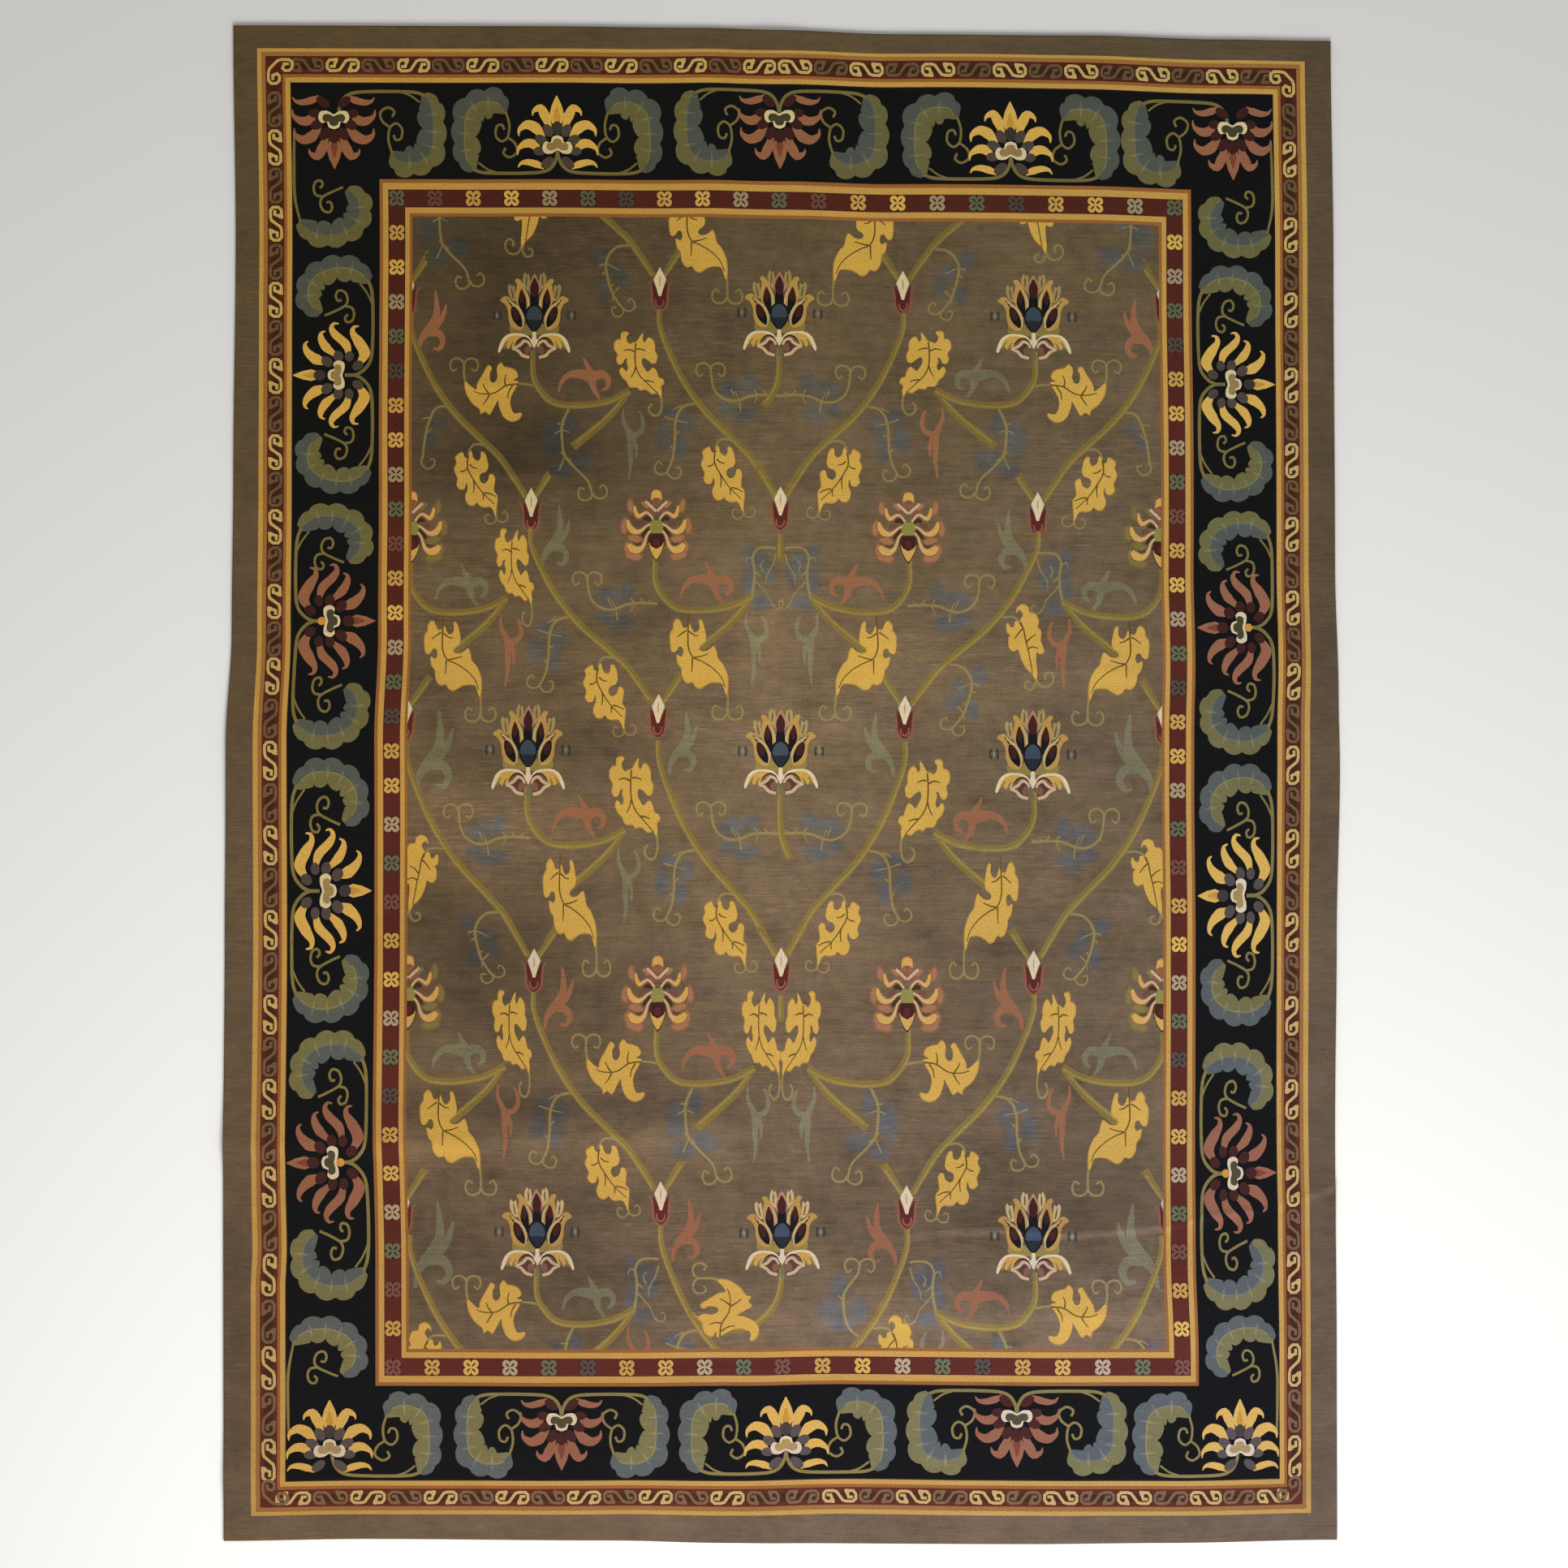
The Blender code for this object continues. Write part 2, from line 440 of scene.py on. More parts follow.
longFlower = {  # the same flower drawn out along the side borders
    "tip": (((0, 40), (0, 62), (0, 84), (0, 107)), (14, 31, 22, 2)),
    "petals": (
        (((34, 22), (42, 50), (62, 72), (82, 78), (90, 70)), (14, 28, 18, 8, 3)),
        (((54, 4), (74, 26), (96, 38), (112, 38), (117, 28)), (12, 23, 17, 8, 3)),
        (((54, -30), (82, -22), (108, 4), (126, 13), (138, 6), (136, -5)), (12, 22, 20, 12, 7, 3)),
        (((28, -54), (58, -68), (88, -54), (112, -39), (128, -42), (130, -54)), (12, 28, 26, 14, 8, 3)),
    ),
    "lobes": ((0, 42, 28, 30, 0), (36, 24, 26, 32, -50), (50, -4, 24, 30, -78), (50, -31, 22, 28, -96),
              (26, -52, 24, 30, -140)),
    "heart": ((0, 22), (13, 17), (17, 6), (31, 8), (39, -3), (33, -18), (16, -19), (0, -14)),
    "stem": ((0, -20), (1, -46), (14, -68), (40, -84), (90, -88), (160, -88), (205, -85), (232, -76)),
    "twig": ((170, -88), (200, -74), (224, -56)),
}
flowerWools = {
    "yellow": {"petal": "yellow", "core": "yellowDeep", "lobe": "mauve", "lobeDark": "mauveDark",
               "heart": "tan"},
    "rust": {"petal": "rust", "core": "rustDark", "lobe": "plum", "lobeDark": "plum", "heart": "oliveDark"},
}


def lotus(shape, kind):
    wool = flowerWools[kind]
    half = [(wool["petal"], ribbon(path, widths)) for path, widths in shape["petals"]]
    half += [(wool["lobe"], oval(x, y, wide, tall, turn)) for x, y, wide, tall, turn in shape["lobes"][1:]]
    path, widths = shape["tip"]
    core = [(x * 0.9, y * 0.97) for x, y in path[:3]]
    motif = mirrored(half) + [(wool["petal"], ribbon(path, widths)),
                              (wool["core"], ribbon(core, (10, 18, 4)))]
    x, y, wide, tall, turn = shape["lobes"][0]
    motif.append((wool["lobeDark"], oval(x, y, wide, tall, turn)))
    heart = np.array(shape["heart"], float)
    heart = np.vstack([heart, (heart * (-1, 1))[-2:0:-1]])
    motif.append(("cream", blob(heart, 5)))
    motif.append((wool["heart"], blob(heart * (0.74, 0.66) + (0, 1), 5)))
    if shape is longFlower and kind == "rust":
        motif.append(("amber", oval(0, -24, 20, 20)))
    return motif


cloudLeaf = {  # beside each flower, from the same heart; reaches are mm out from the spine
    "upright": {
        "spine": ((-128, 80), (-150, 103), (-192, 104), (-226, 80), (-234, 22), (-230, -30), (-212, -62)),
        "curls": (((-129, 82), (-121, 54), (-122, 30), (-128, 16), (-142, 10), (-155, 24), (-152, 46),
                   (-139, 50), (-133, 38)),
                  ((-126, 20), (-107, 5), (-102, -16), (-120, -29), (-136, -20), (-131, -6))),
        "outer": (6, 36, 34, 36, 32, 30, 12),
        "inner": (8, 38, 44, 42, 38, 40, 10),
        "lobes": (7, 6),
    },
    "long": {
        "spine": ((150, 40), (176, 66), (214, 70), (246, 48), (262, 4), (258, -42), (232, -80)),
        "curls": (((146, 30), (156, 6), (170, -20), (186, -26), (203, -19), (207, -4), (195, 3), (182, -2),
                   (184, -11)),
                  ((169, -18), (165, -36), (150, -42), (133, -37), (130, -24), (141, -20), (148, -27))),
        "outer": (14, 32, 30, 31, 32, 31, 14),
        "inner": (12, 30, 36, 37, 33, 34, 14),
        "lobes": (7, 6),
    },
}
leafWools = {"yellow": ("blueGrey", "olive"), "rust": ("olive", "blueGrey")}


def scalloped(spine, reach, lobes, gap=4.0):
    line, place = smooth(spine, False, gap)
    way = np.gradient(line, axis=0)
    way /= np.hypot(way[:, 0], way[:, 1])[:, None]
    aside = np.stack([-way[:, 1], way[:, 0]], 1)
    share = place / (len(spine) - 1)
    depth = np.interp(share, np.linspace(0, 1, len(reach)), reach)
    bump = np.abs(np.sin(np.pi * lobes * share)) ** 0.6
    return line, line + aside * (depth * (0.70 + 0.34 * bump))[:, None]


def cloud(shape, kind):
    outerWool, innerWool = leafWools[kind]
    spine = shape["spine"]
    side = 1 if spine[0][0] > 0 else -1
    line, outer = scalloped(spine, [side * r for r in shape["outer"]], shape["lobes"][0])
    line, inner = scalloped(spine, [-side * r for r in shape["inner"]], shape["lobes"][1])
    motif = [(outerWool, np.vstack([line, outer[::-1]])), (innerWool, np.vstack([line, inner[::-1]]))]
    motif += [("stem", ribbon(path, border["curl"], 4.0)) for path in shape["curls"]]
    motif.append((innerWool + "Rib", ribbon(line[6:-4:3], 3.0, 8.0)))
    for share in (0.22, 0.36, 0.5, 0.64, 0.78):
        at = int(share * len(line))
        for edge, wool in ((outer, outerWool), (inner, innerWool)):
            step = edge[at] - line[at]
            motif.append((wool + "Rib", np.array([line[at - 1], line[at + 1], line[at] + step * 0.62])))
    return motif


def stems(shape):
    return [("stem", ribbon(shape["stem"], border["stem"])),
            ("stem", ribbon(shape["twig"], border["stem"] * 0.6))]


borderArt = [("seam", frameOf(*border["outer"])),
             ("navy", frameOf(*(inset + border["seam"] for inset in border["outer"])))]

endFlowers = (  # along the band, across, turn of the tip from straight up, kind, the kind whose leaves it has
    (-557, 1561, 0, "yellow", "yellow"),
    (4, 1630, 180, "rust", "rust"),
    (567, 1559, 0, "yellow", "yellow"),
    (-547, -1566, 180, "rust", "yellow"),
    (8, -1628, 0, "yellow", "yellow"),
    (564, -1559, 180, "rust", "rust"),
)
# along, kind, tip inwards, stretch of the flower and of its far and near leaves, left higher than right
sideFlowers = (
    (998, "yellow", False, 0.92, 1.00, 0.99, 0),
    (396, "rust", True, 1.00, 0.98, 1.07, 0),
    (-266, "yellow", True, 1.09, 1.11, 1.10, 2),
    (-942, "rust", False, 1.06, 1.10, 1.15, 24),
)
cornerFlowers = (  # across, along, turn, kind, how far on the side leaf and the end leaf stand
    (-1115, 1624, 180, "rust", 20, 12),
    (-1115, -1634, 0, "yellow", 34, 6),
)


def drawBorder():
    leaf = {kind: {form: cloud(cloudLeaf[form], kind) for form in cloudLeaf} for kind in leafWools}
    for x, y, turn, kind, leafKind in endFlowers:
        put(borderArt, mirrored(leaf[leafKind]["upright"] + stems(uprightFlower)), x, y, turn)
        put(borderArt, lotus(uprightFlower, kind), x, y, turn)
    for hand in (1, -1):   # left half, then the right one turned over
        half = []
        for y, kind, inwards, stretch, farLeaf, nearLeaf, higher in sideFlowers:
            x, turn = (border["heartIn"], -90) if inwards else (border["heartOut"], 90)
            y += hand * higher / 2
            # turned by -90 the flower's own right side points to the near end
            right, left = (nearLeaf, farLeaf) if inwards else (farLeaf, nearLeaf)
            put(half, leaf[kind]["long"] + stems(longFlower), x, y, turn, right)
            put(half, flipped(leaf[kind]["long"] + stems(longFlower)), x, y, turn, left)
            put(half, lotus(longFlower, kind), x, y, turn, stretch)
        for x, y, turn, kind, sideOn, endOn in cornerFlowers:
            far = y > 0
            ends = leaf[kind]["upright"] + flipped(stems(uprightFlower))
            put(half, ends if far else flipped(ends), x + endOn, y, turn)
            sideLeaf = leaf[kind]["long"] if far else flipped(leaf[kind]["long"])
            put(half, sideLeaf, border["leafLine"], y + (-sideOn if far else sideOn), -90)
            reach = -1 if far else 1
            # a thin stem joins the corner to the first leaf along the side: across, on from the corner flower
            path = ((-1212, 30), (-1214, 110), (-1213, 190), (-1200, 232 + sideOn))
            half.append(("stem", ribbon([(u, y + reach * on) for u, on in path], (5, 7, 7, 5))))
            put(half, lotus(uprightFlower, kind), x, y, turn)
        borderArt.extend(half if hand == 1 else flipped(half))


drawBorder()

# the outer guard: a running fret of squared hooks, bright and dim by turns
outerGuard = {
    "plain": (68, 66),     # insets where each stripe starts: gold, ochre, maroon, orange, gold
    "ochre": (80, 76),
    "maroon": (90, 87),
    "orange": (131, 131),
    "gold": (138, 139),
    "line": 7.0,
    "drawnLength": 97,     # of the hook below, which is stretched to its place
    "sideGap": 6,          # between the hooks
    "endGap": 5,
    "ground": 10,          # half width of the darker wool behind them
    "groundShort": 22,     # how far it stops from the corner
    "hookHalf": ((0, 0), (9, 11), (19, 13.5), (37, 13.5), (45, 7), (45, -5), (38, -13), (27, -13.5),
                 (21, -8), (25, 3), (33, 3)),
    "barb": ((28, -16), (14, -17), (17, -5), (27, -8)),
}
hookCentre = (-1259.5, 1756.0)
# bright hooks down the sides: which one, and its place along; a dim one stands between each two
sideHooks = ((0, 1555), (4, 810), (7, 262), (12, -773), (14, -1203), (16, -1660))
hookRuns = {"far": (44, 174.5, 7), "near": (137, 177.4, 7)}   # first bright hook, spacing, how many each way
cornerFrom = 1220            # where the corner's hook takes over
nearMiddleHook = (-48, 80)   # the near end's dim hook on either side of the middle: across, length


def bentLine(points, width):
    # a line of even width with square corners
    points = np.array(points, float)
    way = np.diff(points, axis=0)
    way /= np.hypot(way[:, 0], way[:, 1])[:, None]
    points[0] -= way[0] * width / 2
    points[-1] += way[-1] * width / 2
    first, last = np.vstack([way[:1], way]), np.vstack([way, way[-1:]])
    along = first + last
    along /= np.hypot(along[:, 0], along[:, 1])[:, None]
    reach = width / 2 / np.maximum((along * first).sum(1), 0.5)
    aside = np.stack([-along[:, 1], along[:, 0]], 1) * reach[:, None]
    return np.vstack([points + aside, (points - aside)[::-1]])


def hook(wool, length, lean=1):
    half = np.array(outerGuard["hookHalf"], float)
    stretch = (length / outerGuard["drawnLength"], lean)
    motif = [(wool, bentLine(np.vstack([-half[:0:-1], half]) * stretch, outerGuard["line"]))]
    motif += [(wool, blob(np.array(outerGuard["barb"]) * turn * stretch, 3)) for turn in (1, -1)]
    return motif


def cornerHook(wool):
    arm = np.array(outerGuard["hookHalf"], float)[1:]
    path = np.vstack([arm[::-1], (arm * (-1, -1))[:, ::-1]])
    return [(wool, bentLine(path, outerGuard["line"]))]


outerArt = [(wool, frameOf(*outerGuard[name])) for wool, name in
            (("gold", "plain"), ("ochre", "ochre"), ("maroon", "maroon"), ("orange", "orange"),
             ("gold", "gold"))]
outerArt.insert(0, ("edge", frameOf(0, 0)))
for u, v, turn in ((0, 1, 0), (0, -1, 0), (-1, 0, 90), (1, 0, 90)):   # darker wool behind the hooks
    long = abs(hookCentre[0] if u == 0 else hookCentre[1]) - outerGuard["groundShort"]
    wide = outerGuard["ground"]
    strip = ((-long, -wide), (0, -wide), (long, -wide), (long, wide), (0, wide), (-long, wide))
    outerArt.append(("hookGround", placed(strip, u * -hookCentre[0], v * hookCentre[1], turn)))


def drawHooks():
    half = []
    at, places = np.array(sideHooks).T
    spots = np.interp(np.arange(-0.5, at[-1] + 0.6, 0.5), at, places)
    spots[0], spots[-1] = 2 * spots[1] - spots[2], 2 * spots[-2] - spots[-3]
    for k, v in enumerate(spots[:-1]):   # the last one only gives its neighbour's length
        step = abs(spots[k + 1] - spots[max(k - 1, 0)]) / (2 if k else 1)
        wool, lean = ("hookBright", 1) if k % 2 else ("hookDim", -1)
        put(half, hook(wool, step - outerGuard["sideGap"], lean), hookCentre[0], v, -90)
    for end, (first, spacing, count) in hookRuns.items():
        v = hookCentre[1] if end == "far" else -hookCentre[1]
        length = spacing / 2 - outerGuard["endGap"]
        for k in range(count):
            put(half, hook("hookBright", length), -first - k * spacing, v)
            if first + (k + 0.5) * spacing < cornerFrom:
                put(half, hook("hookDim", length, -1), -first - (k + 0.5) * spacing, v)
    put(half, hook("hookDim", nearMiddleHook[1], -1), nearMiddleHook[0], -hookCentre[1])
    put(half, cornerHook("hookBright"), *hookCentre)
    put(half, cornerHook("hookDim"), hookCentre[0], -hookCentre[1], 0, 1, -1)
    outerArt.extend(mirrored(half))


drawHooks()

# the inner guard: small rosettes of four petals
innerGuard = {
    "orange": (364, 387),
    "gold": (372, 396),
    "maroon": (385, 412),
    "goldInner": (427, 456),
    "orangeInner": (438, 470),
    "field": (445, 478),
    "centre": (406, 433),
    "acrossCount": 21,
    "alongRuns": ((0, 1), (17, -0.005), (32, -1)),   # rosettes down the sides, closer at the far end
    "wools": ("sageGrey", "mauveRose", "gold", "yellow", "beige", "sageGrey", "mauve", "gold", "yellowPale",
              "beige"),
}
innerArt = [(wool, frameOf(*innerGuard[name])) for wool, name in
            (("orange", "orange"), ("gold", "gold"), ("maroon", "maroon"), ("gold", "goldInner"),
             ("orange", "orangeInner"))]


def rosette(wool):
    # four joined petals with a dark cross between them
    motif = [(wool, oval(9 * sx, 9 * sy, 20, 20, 0, 12)) for sx in (1, -1) for sy in (1, -1)]
    motif.append((wool, oval(0, 0, 20, 20, 0, 10)))
    for turn in (0, 90, 180, 270):
        motif.append(("rosetteSeam", placed(np.array([(0, 11), (-2.6, 20), (2.6, 20)]), 0, 0, turn)))
        motif.append(("rosetteSeam", placed(oval(9.5, 0, 13, 4.4, 0, 8), 0, 0, turn + 45)))
    return motif


def drawRosettes():
    u, v = halfWide - innerGuard["centre"][0], halfLong - innerGuard["centre"][1]
    at, places = np.array(innerGuard["alongRuns"]).T
    spots = [(x, y * v) for y in (1, -1) for x in np.linspace(-u, u, innerGuard["acrossCount"])]
    spots += [(x * u, y) for x in (-1, 1) for y in np.interp(np.arange(1, 32), at, places) * v]
    for k, (x, y) in enumerate(spots):
        pick = innerGuard["wools"][k % len(innerGuard["wools"])]
        put(innerArt, rosette(pick), x, y)


drawRosettes()

# the field: a lattice of stems with palmettes, buds, leaves and tendrils
field = {
    "highlight": 6.0,
    "tendril": 5.6,
    "vein": 4.2,
    "twig": 4.2,
}


def bough(path, widths):
    thick, place = smooth(path, False, 6.0)
    way = np.gradient(thick, axis=0)
    way /= np.hypot(way[:, 0], way[:, 1])[:, None]
    lit = thick + np.stack([way[:, 1], -way[:, 0]], 1) * (np.mean(widths) * 0.22)
    return [("bough", ribbon(path, widths, 6.0)), ("boughLight", ribbon(lit[::3], field["highlight"], 8.0))]


# one arm of a tendril's fork
curlPath = ((0, 0), (5, -12), (19, -18), (34, -13), (38, 3), (30, 16), (20, 9))


def forked(x, y, turn=0.0, size=1.0, arms=2):
    # a tendril's end parting into two curls that turn away from each other
    arm = [("tendril", ribbon(curlPath, (field["tendril"], field["tendril"], field["tendril"] * 0.8), 4.0))]
    motif = []
    put(motif, mirrored(arm) if arms == 2 else arm, x, y, turn, size, size)
    return motif


leaves = {  # outline, veins, tails that curl, and where a tail forks (x, y, turn, size)
    "broad": {
        "outline": ((-33, -10), (-42, -22), (-42, -33), (-50, -46), (-51, -64), (-48, -88), (-41, -93),
                    (-33, -86), (-29, -79), (-20, -81), (-17, -95), (-23, -105), (-34, -99), (-31, -121),
                    (-22, -133), (-20, -150), (-13, -165), (-3, -171), (7, -168), (16, -180), (28, -184),
                    (39, -178), (52, -171), (68, -169), (83, -172), (90, -188), (95, -201), (98, -188),
                    (97, -156), (91, -138), (82, -121), (71, -109), (67, -92), (61, -78), (54, -83),
                    (43, -90), (29, -91), (23, -84), (27, -76), (38, -68), (41, -54), (37, -32), (32, -16),
                    (24, -13), (25, -31), (19, -42), (10, -43), (4, -31), (0, -22), (-7, -31), (-16, -32),
                    (-21, -22), (-25, -13)),
        "veins": (((-2, 0), (-4, -37), (-4, -80), (8, -106), (28, -115), (56, -132), (79, -155), (90, -180)),
                  ((6, -107), (6, -124), (5, -142)), ((9, -107), (26, -104), (45, -98)),
                  ((-8, -40), (-18, -46), (-31, -56)), ((-2, -42), (12, -52), (22, -53))),
        "tails": (((92, -180), (97, -210), (97, -246)),),
        "fork": (97, -240, 0, 1.0),
    },
    "narrow": {
        "outline": ((-15, 9), (-25, 5), (-34, -5), (-31, -18), (-37, -34), (-32, -48), (-28, -58), (-31, -73),
                    (-22, -84), (-11, -82), (-6, -66), (-3, -83), (-9, -100), (-6, -115), (3, -124),
                    (14, -123), (21, -116), (27, -124), (39, -128), (54, -127), (62, -136), (69, -152),
                    (71, -132), (73, -101), (65, -89), (65, -75), (67, -55), (60, -45), (53, -48),
                    (51, -59), (44, -67), (35, -69), (28, -60), (28, -50), (34, -43), (44, -40), (50, -28),
                    (48, -13), (44, 2), (37, 10), (31, 8), (31, -3), (26, -12), (18, -11), (11, -3), (9, 8),
                    (4, 13), (1, 4), (-3, -5), (-9, -5), (-13, 3)),
        "veins": (((0, 0), (-3, -20), (0, -38), (16, -65), (34, -90), (64, -119)),
                  ((-20, -40), (-10, -38), (-2, -30)), ((3, -22), (12, -30), (23, -32)),
                  ((36, -92), (37, -100), (36, -110)), ((39, -91), (54, -94), (68, -101)),
                  ((12, -58), (14, -74), (12, -92))),
        "tails": (((0, 0), (4, 16), (14, 26), (28, 27), (42, 24)), ((68, -140), (70, -160))),
        "fork": (70, -152, 8, 0.74),
    },
    "column": {
        "outline": ((3, 18), (-3, 30), (-14, 40), (-21, 55), (-16, 65), (-10, 60), (-3, 54), (1, 65),
                    (-3, 78), (-1, 87), (-8, 86), (-14, 74), (-23, 72), (-29, 83), (-26, 98), (-34, 109),
                    (-34, 126), (-26, 134), (-18, 135), (-17, 149), (-8, 154), (3, 151), (-4, 142),
                    (-2, 130), (6, 123), (13, 127), (21, 128), (27, 136), (34, 146), (40, 150), (38, 136),
                    (43, 127), (48, 134), (54, 140), (65, 133), (70, 119), (70, 105), (76, 95), (73, 78),
                    (64, 74), (56, 80), (46, 87), (38, 88), (36, 76), (43, 63), (51, 53), (59, 60),
                    (68, 64), (75, 53), (80, 39), (90, 36), (93, 25), (85, 18), (87, 3), (84, -10), (78, 0),
                    (72, 1), (61, -1), (54, 5), (44, 10), (31, 8), (24, 15), (11, 15)),
        "veins": (((21, 125), (19, 98), (21, 68), (31, 45), (51, 25), (76, 2)), ((20, 66), (17, 54), (9, 40)),
                  ((44, 33), (55, 32), (67, 28)), ((17, 104), (4, 109), (-10, 106)),
                  ((23, 110), (34, 110), (46, 106))),
        "tails": (((83, 0), (86, -28), (80, -48), (68, -53), (56, -45), (54, -32), (62, -24)),),
        "fork": None,
    },
    "side": {
        "outline": ((2, 6), (-12, 10), (0, 18), (-6, 34), (-22, 41), (-34, 43), (-44, 53), (-54, 40),
                    (-52, 18), (-60, 4), (-70, 8), (-72, 28), (-66, 40), (-76, 47), (-90, 24), (-103, 2),
                    (-106, -14), (-118, -8), (-135, 6), (-132, -22), (-116, -48), (-98, -62), (-94, -75),
                    (-84, -68), (-72, -76), (-62, -60), (-50, -40), (-48, -56), (-36, -82), (-16, -93),
                    (4, -86), (10, -72), (-8, -74), (-18, -56), (-18, -34), (-6, -10)),
        "veins": (((0, 0), (-30, -4), (-60, -22), (-92, -24), (-112, -18)),
                  ((-74, -24), (-84, -10), (-88, 0)), ((-72, -26), (-80, -40), (-88, -50)),
                  ((-14, -4), (-24, -20), (-26, -36)), ((-32, -4), (-34, 10), (-30, 24))),
        "tails": (((-131, 0), (-136, 22), (-136, 50)),),
        "fork": (-136, 46, 180, 0.92),
    },
    "straight": {
        "outline": ((10, 32), (8, 43), (3, 50), (-6, 54), (-14, 52), (-21, 46), (-23, 34), (-30, 33),
                    (-38, 31), (-43, 22), (-46, 10), (-42, -3), (-49, -9), (-51, -21), (-49, -36),
                    (-52, -45), (-57, -62), (-54, -69), (-46, -70), (-39, -66), (-37, -76), (-38, -96),
                    (-40, -118), (-38, -136), (-32, -129), (-28, -120), (-21, -115), (-11, -105), (-2, -88),
                    (4, -70), (7, -59), (15, -64), (22, -64), (29, -57), (31, -43), (30, -30), (26, -23),
                    (32, -20), (35, -10), (35, 0), (31, 7), (27, -1), (19, -5), (15, 1), (14, 9), (8, 12),
                    (3, 7), (-2, -4), (-5, 2), (0, 10), (-1, 17), (-6, 24), (-6, 31), (-2, 38), (4, 40),
                    (7, 36)),
        "veins": (((0, 8), (-7, -8), (-12, -36), (-18, -62), (-24, -95), (-28, -118)),
                  ((-13, -42), (-24, -30), (-37, -22)), ((-17, -58), (-28, -52), (-42, -56)),
                  ((-5, -8), (6, -20), (14, -32))),
        "tails": (((0, 6), (9, 17), (24, 21), (46, 19)),
                  ((-38, -132), (-46, -147), (-61, -151), (-75, -143), (-79, -126), (-70, -114),
                   (-59, -120), (-60, -133)),
                  ((-37, -130), (-33, -150), (-23, -158), (-11, -152), (-12, -140), (-22, -138))),
        "fork": None,
    },
}


def leafMotif(kind):
    leaf = leaves[kind]
    motif = [("tendril", ribbon(tail, (5.5, field["tendril"]), 4.0)) for tail in leaf["tails"]]
    if leaf["fork"]:
        motif += forked(*leaf["fork"])
    motif.append(("leafShade", blob(leaf["outline"], 5.0)))
    inner = np.array(leaf["outline"], float)
    motif.append(("leafGold", blob(inner + (inner.mean(0) - inner) * 0.035, 5.0)))
    motif += [("leafVein", ribbon(vein, (field["vein"], 2.4), 6.0)) for vein in leaf["veins"]]
    return motif


sprigs = {  # parts as paths with widths, from the place where each sprig leaves its stem
    "rising": (
        (((0, 0), (5, 28), (20, 50), (34, 60)), (7, 12, 22, 30)),
        (((28, 54), (44, 88), (46, 118), (42, 154)), (28, 18, 13, 4)),
        (((34, 58), (54, 78), (64, 98), (70, 120)), (22, 15, 11, 4)),
        (((28, 52), (52, 48), (62, 28), (52, 10), (38, 13)), (22, 18, 14, 10, 5)),
    ),
    "flying": (
        (((6, -6), (-8, 14), (-14, 34)), (7, 12, 20)),
        (((-8, 44), (-40, 53), (-70, 52), (-90, 35), (-99, 9)), (28, 24, 16, 11, 4)),
        (((-12, 48), (-24, 70), (-36, 94)), (24, 13, 4)),
        (((-16, 46), (10, 54), (26, 42), (24, 22), (12, 16)), (24, 20, 15, 11, 5)),
    ),
    "hanging": (
        (((-22, -36), (-22, -66), (-10, -92), (-2, -112)), (4, 9, 14, 20)),
        (((-3, -104), (18, -98), (28, -80), (24, -54), (16, -44)), (15, 13, 11, 8, 4)),
        (((-2, -102), (-5, -138), (-4, -172), (-9, -212)), (22, 14, 10, 4)),
        (((2, -106), (10, -134), (9, -158)), (12, 9, 4)),
    ),
}


def sprig(kind, wool):
    return [(wool, ribbon(path, widths, 5.0)) for path, widths in sprigs[kind]]


# a cloud with its edge in uneven steps, as rows of knots end
ragged = np.array([(-0.55, -1.0), (0.35, -0.95), (0.4, -0.75), (0.8, -0.7), (0.72, -0.45), (1.0, -0.4),
                   (0.9, 0.0), (1.05, 0.05), (0.82, 0.4), (0.9, 0.45), (0.5, 0.7), (0.3, 0.95), (-0.4, 1.0),
                   (-0.3, 0.8), (-0.75, 0.72), (-0.7, 0.4), (-1.0, 0.3), (-0.92, -0.1), (-1.05, -0.2),
                   (-0.8, -0.5), (-0.85, -0.62)])

